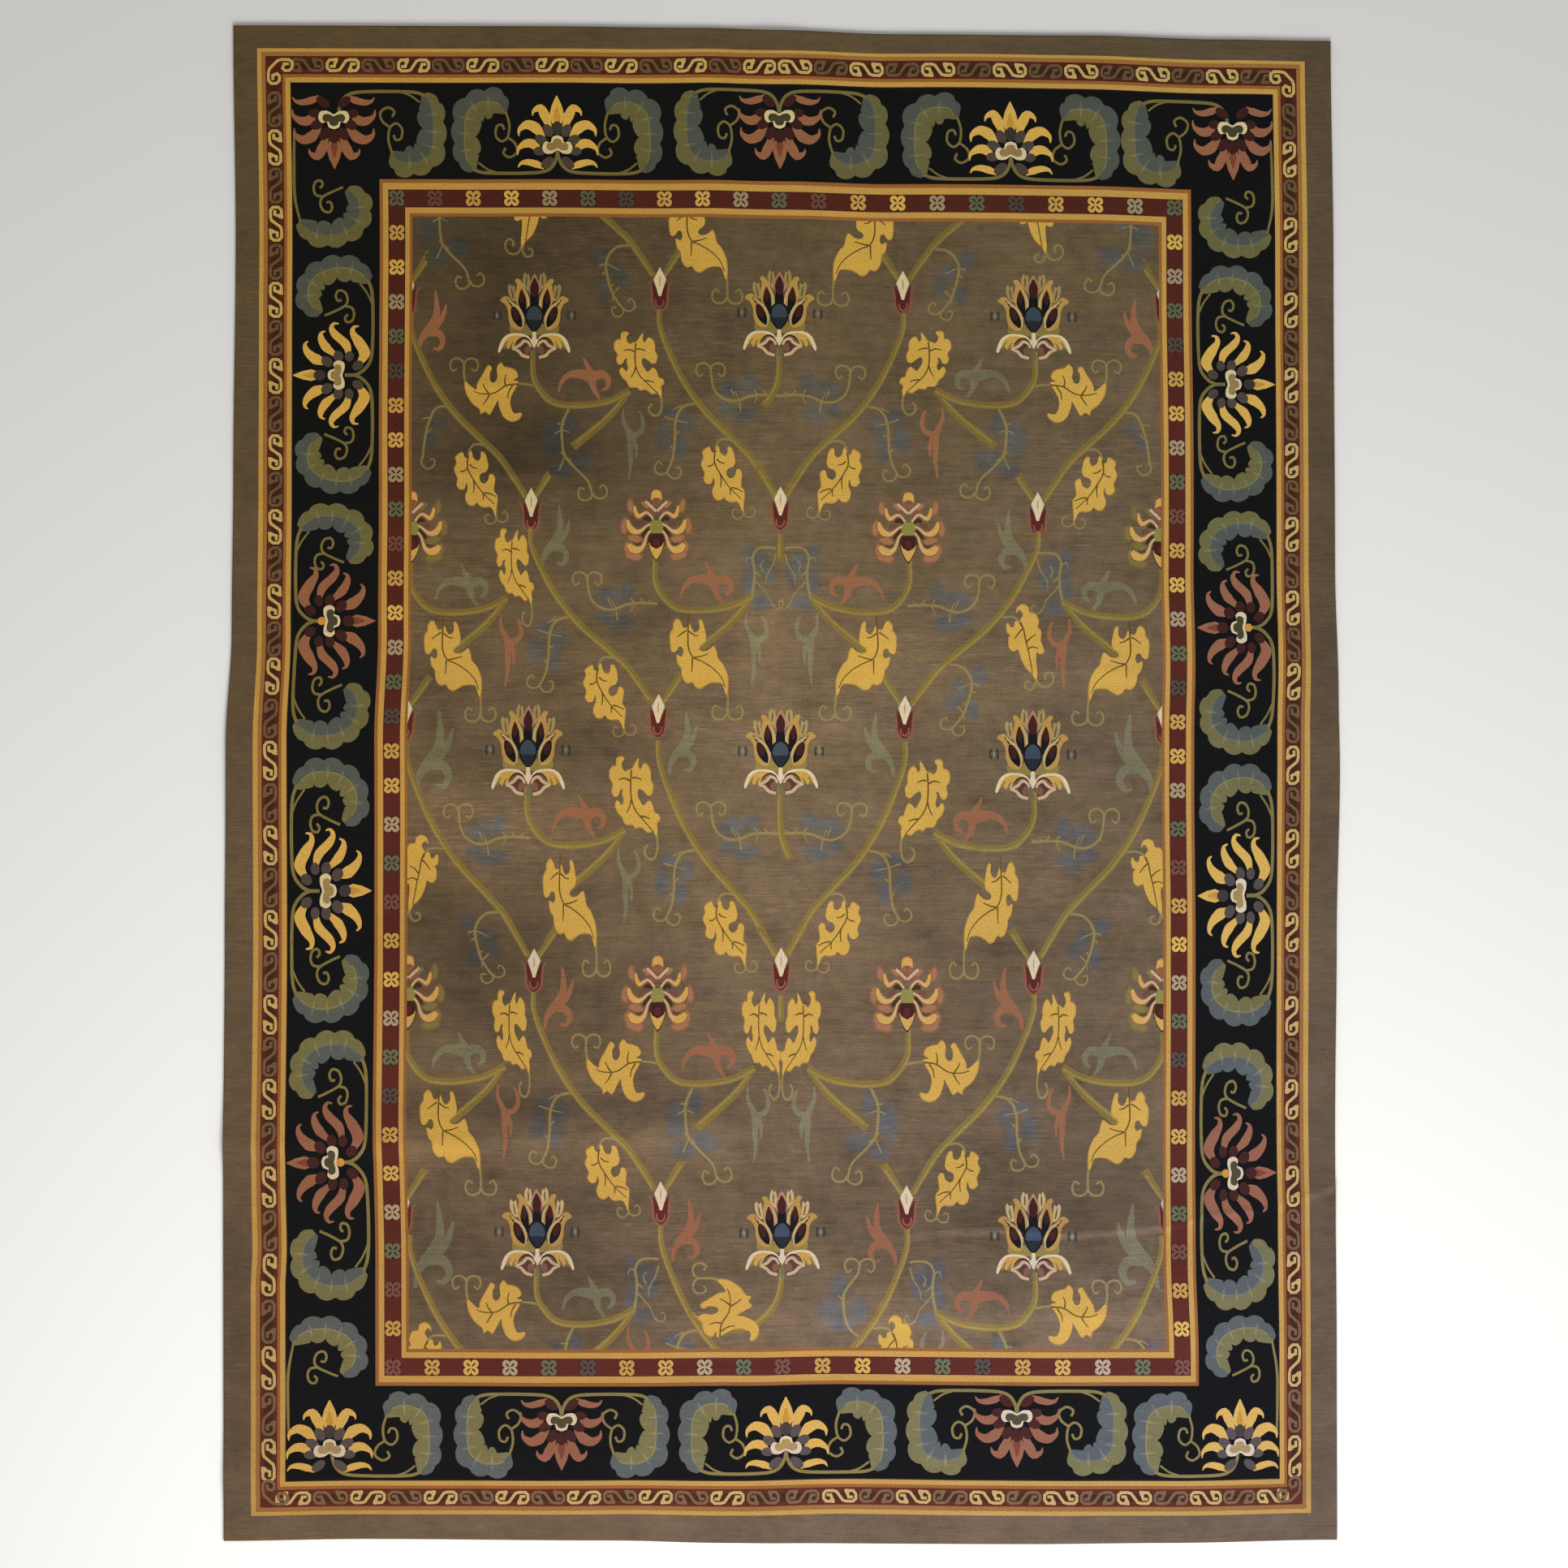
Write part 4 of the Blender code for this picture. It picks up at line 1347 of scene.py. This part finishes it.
def stripsOf(flat, group, strips, outer):
    # the strip in which each face of a group lies
    found = np.zeros(len(group), int)
    if len(group):
        middle = np.clip(flat[group].mean(1), -outer[2] + 0.01, outer[2] - 0.01)
        for row, (u0, u1, v0, v1, upright) in enumerate(strips):
            found[(middle[:, 0] > u0) & (middle[:, 0] < u1) & (middle[:, 1] > v0) & (middle[:, 1] < v1)] = row
    return found


def patternedSide(art, outer, hole, strips, cell):
    # flat triangles whose edges follow every outline, with each one's wool
    lines = []
    for u0, u1, v0, v1, upright in strips:
        ends = ((u0, v0), (u1, v0)) if upright else ((u0, v0), (u0, v1))
        share = np.linspace(0, 1, 9)[:, None]
        lines.append(np.array(ends[0]) * (1 - share) + np.array(ends[1]) * share)
    loops = [divided(side) for side in (outer, hole) if side is not None]
    outlines = loops + [divided(np.array(outline)) for wool, outline in art]
    flat, faces, _ = cut(outlines, gridIn(outer, hole, cell), lines)
    faces = kept(flat, faces, outer, hole)
    used = np.unique(faces)
    number = np.full(len(flat), -1)
    number[used] = np.arange(len(used))
    flat, faces = flat[used], number[faces]
    return flat, faces, woolsAt(art, flat[faces].mean(1))


def roundedRim(flat, faces, wool, outer, rows, face):
    # rows of quads round the outer edge, each in the wool that it meets
    place, height = flat.copy(), np.full(len(flat), face)
    quads, quadWool, rims = [], [], []
    edgeWool = {}
    for a, b, w in zip(faces.ravel(), np.roll(faces, -1, 1).ravel(), np.repeat(wool, 3)):
        edgeWool[a, b] = w
    for loop in loopsOf(faces):
        isOuter = np.abs(flat[loop]).max(0)[0] > outer[2][0] - 0.5
        ids = loop
        worn = [edgeWool[a, b] for a, b in zip(loop, np.roll(loop, -1))]
        for inset, high, run in (rows if isOuter else ()):
            scale = (np.array([halfWide, halfLong]) - inset) / outer[2]
            stretch = (outer[2] + run) / outer[2]
            new = np.arange(len(loop)) + len(place)
            place = np.vstack([place, flat[loop] * scale])
            flat = np.vstack([flat, flat[loop] * stretch])
            height = np.append(height, np.full(len(loop), high))
            quads.append(np.stack([new, np.roll(new, -1), np.roll(ids, -1), ids], 1))
            quadWool.extend(worn)
            ids = new
        rims.append(ids)
    quads = np.vstack(quads) if quads else np.zeros((0, 4), int)
    return place, flat, height, quads, quadWool, rims


def hiddenSide(rims, outer, hole):
    # the other side has the same rims and far fewer faces; origins tells which of its points a rim's is
    flat, faces, sources = cut(rims, gridIn(outer, hole, rug["backCell"]))
    reach = np.array([np.abs(rim).max(0) for rim in rims]).max(0)
    faces = kept(flat, faces, frameOf(halfWide - reach[0], halfLong - reach[1]), hole)
    origins = np.zeros(sum(len(rim) for rim in rims), int)
    for index, found in enumerate(sources):
        for origin in found:
            if origin < len(origins):
                origins[origin] = index
    return flat, faces, origins


def wallsBetween(rims, below, place):
    # quads from each rim to the hidden side, and their corners on the bake's map
    walls, wallMap, first = [], [], 0
    start, wide = bakeMap["hiddenAcross"]
    for level, ids in enumerate(rims):
        under = below[first:first + len(ids)]
        first += len(ids)
        walls.append(np.stack([under, np.roll(under, -1), np.roll(ids, -1), ids], 1))
        run = np.hypot(*(place[np.roll(ids, -1)] - place[ids]).T)
        end = np.cumsum(run)
        x0, x1 = start + wide * (end - run) / end[-1], start + wide * end / end[-1]
        y0, y1 = (np.full(len(ids), edge + bakeMap["wallStep"] * level) for edge in bakeMap["walls"])
        wallMap.append(np.stack([x0, y0, x1, y0, x1, y1, x0, y1], 1).reshape(-1, 2))
    return np.vstack(walls), np.vstack(wallMap)


def writtenMesh(name, verts, groups, faceWool, flat, bake, paintedShading, normals, down):
    sizes = np.concatenate([np.full(len(group), group.shape[1]) for group in groups])
    corners = np.concatenate([group.ravel() for group in groups])
    loopNormals = np.zeros((len(corners), 3))
    loopNormals[:groups[0].size] = normals[corners[:groups[0].size]]
    if down:  # turned over: the same corners the other way round
        starts = np.cumsum(sizes) - sizes
        order = np.concatenate([np.arange(start, start + count)[::-1] for start, count in zip(starts, sizes)])
        corners, bake, loopNormals = corners[order], bake[order], loopNormals[order]

    mesh = bpy.data.meshes.new(name)
    mesh.vertices.add(len(verts))
    mesh.vertices.foreach_set("co", verts.astype(np.float32).ravel())
    mesh.loops.add(len(corners))
    mesh.loops.foreach_set("vertex_index", corners.astype(np.int32))
    mesh.polygons.add(len(sizes))
    mesh.polygons.foreach_set("loop_start", (np.cumsum(sizes) - sizes).astype(np.int32))
    mesh.update(calc_edges=True)
    mesh.validate()
    dyes = np.repeat(woolColours[faceWool], sizes, 0)
    for layer, kind, domain, key, values in (("dye", "FLOAT_COLOR", "CORNER", "color", dyes),
                                             ("abrashAndShading", "FLOAT", "FACE", "value", woolAbrashAndShading[faceWool]),
                                             ("paintedShading", "FLOAT", "POINT", "value", paintedShading)):
        mesh.attributes.new(layer, kind, domain).data.foreach_set(key, values.astype(np.float32).ravel())
    for layer, values in (("loom", flat[corners] / 1000), ("OFBake", bake)):
        mesh.uv_layers.new(name=layer).uv.foreach_set("vector", values.astype(np.float32).ravel())
    # the patterned side and its rim are smooth, the walls and the hidden side flat
    softFaces = np.arange(len(sizes)) < len(groups[0]) + len(groups[1])
    mesh.polygons.foreach_set("use_smooth", softFaces)
    mesh.normals_split_custom_set(loopNormals.tolist())
    return mesh


def buildSlab(name, art, outer, hole=None, cuts=None, rows=(), face=0.0, other=0.0, down=False,
              cell=rug["topCell"]):
    # face: height of the patterned side over the floor, other: of the hidden side. rows: the rounded
    # rim outside it, as (mm in from the rug's edge, height, mm run past the face's edge)
    began = time.time()
    strips = ringStrips(outer, hole, cuts) if cuts else []
    flat, faces, wool = patternedSide(art, outer, hole, strips, cell)
    place, flat, height, quads, quadWool, rims = roundedRim(flat, faces, wool, outer, rows, face)
    hidden, hiddenFaces, origins = hiddenSide([place[ids] for ids in rims], outer, hole)
    new = np.arange(len(hidden)) + len(place)
    place, flat = np.vstack([place, hidden]), np.vstack([flat, hidden])
    height = np.append(height, np.full(len(hidden), other))
    walls, wallMap = wallsBetween(rims, new[origins], place)
    hiddenFaces = hiddenFaces[:, ::-1]

    room = bakeMap["pileRoom"] + (rows[-1][2] if rows else 0)
    bake = []
    for group in (faces, quads):
        cornerStrip = np.repeat(stripsOf(flat, group, strips, outer), group.shape[1])
        bake.append(bakePlaces(flat[group].reshape(-1, 2), cornerStrip, strips, outer, room))
    u, v = outer[2] + bakeMap["hiddenRoom"]
    (left, wide), (low, high) = bakeMap["hiddenAcross"], bakeMap["hidden"]
    at = hidden[hiddenFaces].reshape(-1, 2)
    tucked = np.stack([left + wide * (at[:, 0] + u) / (2 * u), low + high * (at[:, 1] + v) / (2 * v)], 1)

    x, y = onFloor(place[:, 0], place[:, 1])
    verts = np.stack([x, y, liftAt(x, y) + height], 1)
    faceWool = np.concatenate([wool, np.array(quadWool, int),
                               np.full(len(walls), woolNames.index("pileRoots")),
                               np.full(len(hiddenFaces), woolNames.index("backing"))])
    mesh = writtenMesh(name, verts, [faces, quads, walls, new[hiddenFaces]], faceWool, flat,
                       np.vstack([*bake, wallMap, tucked]), paintedShadingAt(x, y),
                       slopeNormals(x, y) * (-1 if down else 1), down)
    mesh.materials.append(woolMaterial)
    piece = bpy.data.objects.new(name, mesh)
    bpy.context.collection.objects.link(piece)
    print(name, len(faceWool), "faces,", len(art), "shapes,", round(time.time() - began, 1), "s")
    return piece


def node(tree, kind, inputs=None, **settings):
    # an input is given as a value, as a socket, or as a node whose first output feeds it
    made = tree.nodes.new(kind)
    for key, value in settings.items():
        setattr(made, key, value)
    for key, value in (inputs or {}).items():
        if isinstance(value, bpy.types.Node):
            value = value.outputs[0]
        if isinstance(value, bpy.types.NodeSocket):
            tree.links.new(value, made.inputs[key])
        else:
            made.inputs[key].default_value = value
    return made


# hand-spun wool, knotted and cut to a short pile: dull and slightly furry, each dye lot streaking along
# the rows, with broad patches of painted light and shade, every knot a little apart from the next
pileFinish = {
    "surface": {"Roughness": 0.95, "Specular IOR Level": 0.12, "Sheen Weight": 0.03, "Sheen Roughness": 0.6},
    # waves to a metre across and along the rug, detail, roughness, then from what to what they are spread
    "dyeLots": (
        (3.0, 110.0, 2.0, 0.60, 0.25, 0.75, -0.07, 0.07),
        (12.0, 210.0, 2.0, 0.60, 0.25, 0.75, -0.12, 0.12),
        (1.2, 18.0, 3.0, 0.60, 0.25, 0.75, -0.07, 0.07),
        (5.0, 6.5, 4.0, 0.65, 0.25, 0.75, -0.20, 0.20),
        (26.0, 34.0, 3.0, 0.60, 0.25, 0.75, -0.13, 0.13),
    ),
    "partings": (17.0, 300.0, 1.0, 0.60, 0.58, 0.70, 0.0, 0.34),   # pale lines where the rows of knots part
    "partedPlaces": (1.9, 2.6, 3.0, 0.60, 0.46, 0.62, 0.0, 1.0),   # and where on the rug they do
    "knots": (300.0, 330.0, 1.0, 0.60, 0.25, 0.75, -0.20, 0.20),   # a knot is about 3 mm
    "blueStreaks": (3.0, 40.0, 2.0, 0.60, 0.25, 0.75, -0.10, 0.10),
    "tufts": ((300.0, 330.0, 1.0, 0.60), (60.0, 90.0, 2.0, 0.60)),
    "tuftHeight": 0.0012,   # metres
    "tuftStrength": 0.55,
}
colourRamps = {  # colour ramps along and across the rug: bluer towards the near end and the right, greener to the right, and painted shade on the bright wools; side of the loom, metres, shares
    "blueAlong": ("Y", -1.6, 1.4, 1.25, 0.90),
    "blueAcross": ("X", -1.0, 1.0, 0.80, 1.10),
    "greenAcross": ("X", -1.0, 1.0, 0.955, 1.045),
    "brightWoolShade": ("Y", -1.8, 1.8, -0.28, 0.06),   # painted shade: the bright wools darker towards the near end, where the lamp brightens them, a little lighter at the far end
}
reachNames = ("From Min", "From Max", "To Min", "To Max")


def knottedWool():
    material = bpy.data.materials.new("handSpunWoolPile")
    material.use_nodes = True
    tree = material.node_tree
    shader = tree.nodes["Principled BSDF"]
    for name, value in pileFinish["surface"].items():
        shader.inputs[name].default_value = value
    dye = node(tree, "ShaderNodeAttribute", attribute_name="dye")
    strength = node(tree, "ShaderNodeAttribute", attribute_name="abrashAndShading").outputs["Fac"]
    paintedShading = node(tree, "ShaderNodeAttribute", attribute_name="paintedShading").outputs["Fac"]
    loom = node(tree, "ShaderNodeUVMap", uv_map="loom")
    ends = node(tree, "ShaderNodeSeparateXYZ", {"Vector": loom})
    ramped = {}
    for name, (side, *reach) in colourRamps.items():
        spread = dict(zip(reachNames, reach))
        ramped[name] = node(tree, "ShaderNodeMapRange", {"Value": ends.outputs[side], **spread})

    def waves(across, along, detail, rough, *reach):
        stretch = node(tree, "ShaderNodeMapping", {"Vector": loom, "Scale": (across, along, 1.0)})
        cloud = {"Vector": stretch, "Scale": 1.0, "Detail": detail, "Roughness": rough}
        cloudy = node(tree, "ShaderNodeTexNoise", cloud, noise_dimensions="2D")
        if not reach:
            return cloudy
        return node(tree, "ShaderNodeMapRange", {"Value": cloudy, **dict(zip(reachNames, reach))})

    parted, where = waves(*pileFinish["partings"]), waves(*pileFinish["partedPlaces"])
    uneven = node(tree, "ShaderNodeMath", {0: parted, 1: where}, operation="MULTIPLY")
    for row in pileFinish["dyeLots"]:
        uneven = node(tree, "ShaderNodeMath", {0: uneven, 1: waves(*row)}, operation="ADD")
    uneven = node(tree, "ShaderNodeMath", {0: uneven, 1: strength, 2: waves(*pileFinish["knots"])},
                  operation="MULTIPLY_ADD")
    light = node(tree, "ShaderNodeMath", {0: uneven, 1: 1.0}, operation="ADD")
    # the painted light and shade patches show most on the dark ground
    shown = node(tree, "ShaderNodeMapRange", {"Value": strength, "From Min": fastAbrash, "To Min": 0.25})
    change = node(tree, "ShaderNodeMath", {0: paintedShading, 1: 1.0}, operation="SUBTRACT")
    shadingShown = node(tree, "ShaderNodeMath", {0: change, 1: shown, 2: 1.0}, operation="MULTIPLY_ADD")
    # painted shade on the bright wools: darker towards the near end, a little lighter at the far end
    brightWool = node(tree, "ShaderNodeMapRange", {"Value": strength, "From Min": fastAbrash,
                                             "From Max": plainAbrash, "To Min": 1.0, "To Max": 0.0})
    nearEndShade = node(tree, "ShaderNodeMath", {0: brightWool, 1: ramped["brightWoolShade"], 2: 1.0}, operation="MULTIPLY_ADD")
    light = node(tree, "ShaderNodeMath", {0: light, 1: shadingShown}, operation="MULTIPLY")
    light = node(tree, "ShaderNodeMath", {0: light, 1: nearEndShade}, operation="MULTIPLY")
    shade = node(tree, "ShaderNodeVectorMath", {0: dye, "Scale": light}, operation="SCALE")

    blue = node(tree, "ShaderNodeMath", {0: waves(*pileFinish["blueStreaks"]), 1: ramped["blueAlong"]},
                operation="ADD")
    blue = node(tree, "ShaderNodeMath", {0: blue, 1: ramped["blueAcross"]}, operation="MULTIPLY")
    warmth = node(tree, "ShaderNodeCombineXYZ", {"X": 1.0, "Y": ramped["greenAcross"], "Z": blue})
    tinted = node(tree, "ShaderNodeVectorMath", {0: shade, 1: warmth}, operation="MULTIPLY")
    tree.links.new(tinted.outputs["Vector"], shader.inputs["Base Color"])
    fine, coarse = (waves(*row) for row in pileFinish["tufts"])
    tufts = node(tree, "ShaderNodeMath", {0: fine, 1: coarse}, operation="ADD")
    bump = node(tree, "ShaderNodeBump", {"Height": tufts, "Strength": pileFinish["tuftStrength"],
                                         "Distance": pileFinish["tuftHeight"]})
    tree.links.new(bump.outputs["Normal"], shader.inputs["Normal"])
    return material


woolMaterial = knottedWool()

print("wool material made")
pileTop, pileRoot = rug["thickness"], rug["backing"] - rug["sunk"]


def roundedEdge(radius, angles, height, away):
    # rows of a rounded edge that starts at a height and turns away from it: mm in from the rug's edge,
    # height, mm run past the flat face's edge
    rows = []
    for angle in angles:
        sine, cosine = math.sin(math.radians(angle)), math.cos(math.radians(angle))
        rows.append((radius * 1000 * (1 - sine), height + away * radius * (1 - cosine),
                     radius * 1000 * math.radians(angle)))
    return rows


rimRows = roundedEdge(rug["topRounding"], (30, 60, 90), pileTop, -1)
piles = [
    buildSlab("outerGuardPile", outerArt, frameOf(rounding, rounding), frameOf(*border["outer"]), (2, 2),
              rimRows, face=pileTop, other=pileRoot),
    buildSlab("mainBorderPile", borderArt, frameOf(*border["outer"]), frameOf(*border["inner"]), (2, 2),
              face=pileTop, other=pileRoot),
    buildSlab("innerGuardPile", innerArt, frameOf(*border["inner"]), frameOf(*innerGuard["field"]), (2, 2),
              face=pileTop, other=pileRoot),
    buildSlab("fieldPile", fieldArt, frameOf(*innerGuard["field"]), face=pileTop, other=pileRoot),
]


def coarser(art, least=60.0):
    # the pattern as the knots' backs show it: fine lines lost, outlines blunt
    out = []
    for wool, outline in art:
        wide, tall = np.ptp(outline, axis=0)
        if wool.endswith(("Vein", "Rib", "Light")) or wide + tall < least:
            continue
        out.append((wool, outline[::3] if len(outline) > 30 else outline))
    return out


# on the back, navy fills the thin seam round the border, and the rosettes are too fine to show
backArt = outerArt + [("navy", frameOf(*border["outer"]))] + coarser(borderArt[1:])
backArt += innerArt[:5] + coarser(fieldArt)
bottomInset = rug["bottomRounding"] * 1000
backing = buildSlab("foundationWeave", backArt, frameOf(bottomInset, bottomInset),
                    rows=roundedEdge(rug["bottomRounding"], (45, 90), 0.0, 1), face=0.0, other=rug["backing"],
                    down=True, cell=rug["backCell"])
for piece in piles + [backing]:
    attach(piece, "root")
    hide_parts("rug")

studio = {  # in metres and watts, the lens and film in mm
    "floorColour": "#e9e7e3",
    "floorSize": 14,
    "daylight": 0.42,
    "lampPower": 276,
    "lampSize": 3.0,
    "lampPlace": (0.6, -3.5, 4.1),   # low over the near end, so that the folds show
    "lens": 85,
    "filmWidth": 36,
    "shownWidth": 3.881,             # of the floor, across the frame
    "cameraPlace": (0.006, 0.002),
}

bpy.ops.object.select_all(action="DESELECT")
bpy.ops.mesh.primitive_plane_add(size=studio["floorSize"], location=(0, 0, 0))
floor = bpy.context.object
floor.name = "floor"
floorMaterial = bpy.data.materials.new("palePaintedFloor")
floorMaterial.use_nodes = True
floorShader = floorMaterial.node_tree.nodes["Principled BSDF"]
floorShader.inputs["Base Color"].default_value = (*linear(studio["floorColour"]), 1)
floorShader.inputs["Roughness"].default_value = 0.8
floor.data.materials.append(floorMaterial)

world = bpy.data.worlds.new("studio")
bpy.context.scene.world = world
world.use_nodes = True
daylight = world.node_tree.nodes["Background"]
daylight.inputs["Color"].default_value = (1, 1, 1, 1)
daylight.inputs["Strength"].default_value = studio["daylight"]

lamp = bpy.data.lights.new("softbox", "AREA")
lamp.energy = studio["lampPower"]
lamp.size = studio["lampSize"]
softbox = bpy.data.objects.new("softbox", lamp)
softbox.location = studio["lampPlace"]
softbox.rotation_euler = (-softbox.location).to_track_quat("-Z", "Y").to_euler()
bpy.context.collection.objects.link(softbox)

lens = bpy.data.cameras.new("overhead")
lens.lens = studio["lens"]
lens.sensor_width = studio["filmWidth"]
camera = bpy.data.objects.new("overhead", lens)
distance = studio["shownWidth"] * studio["lens"] / studio["filmWidth"]
camera.location = (*studio["cameraPlace"], distance + rug["thickness"])
bpy.context.collection.objects.link(camera)
bpy.context.scene.camera = camera
bpy.context.scene.view_settings.view_transform = "Standard"
print("floor, light and camera set")
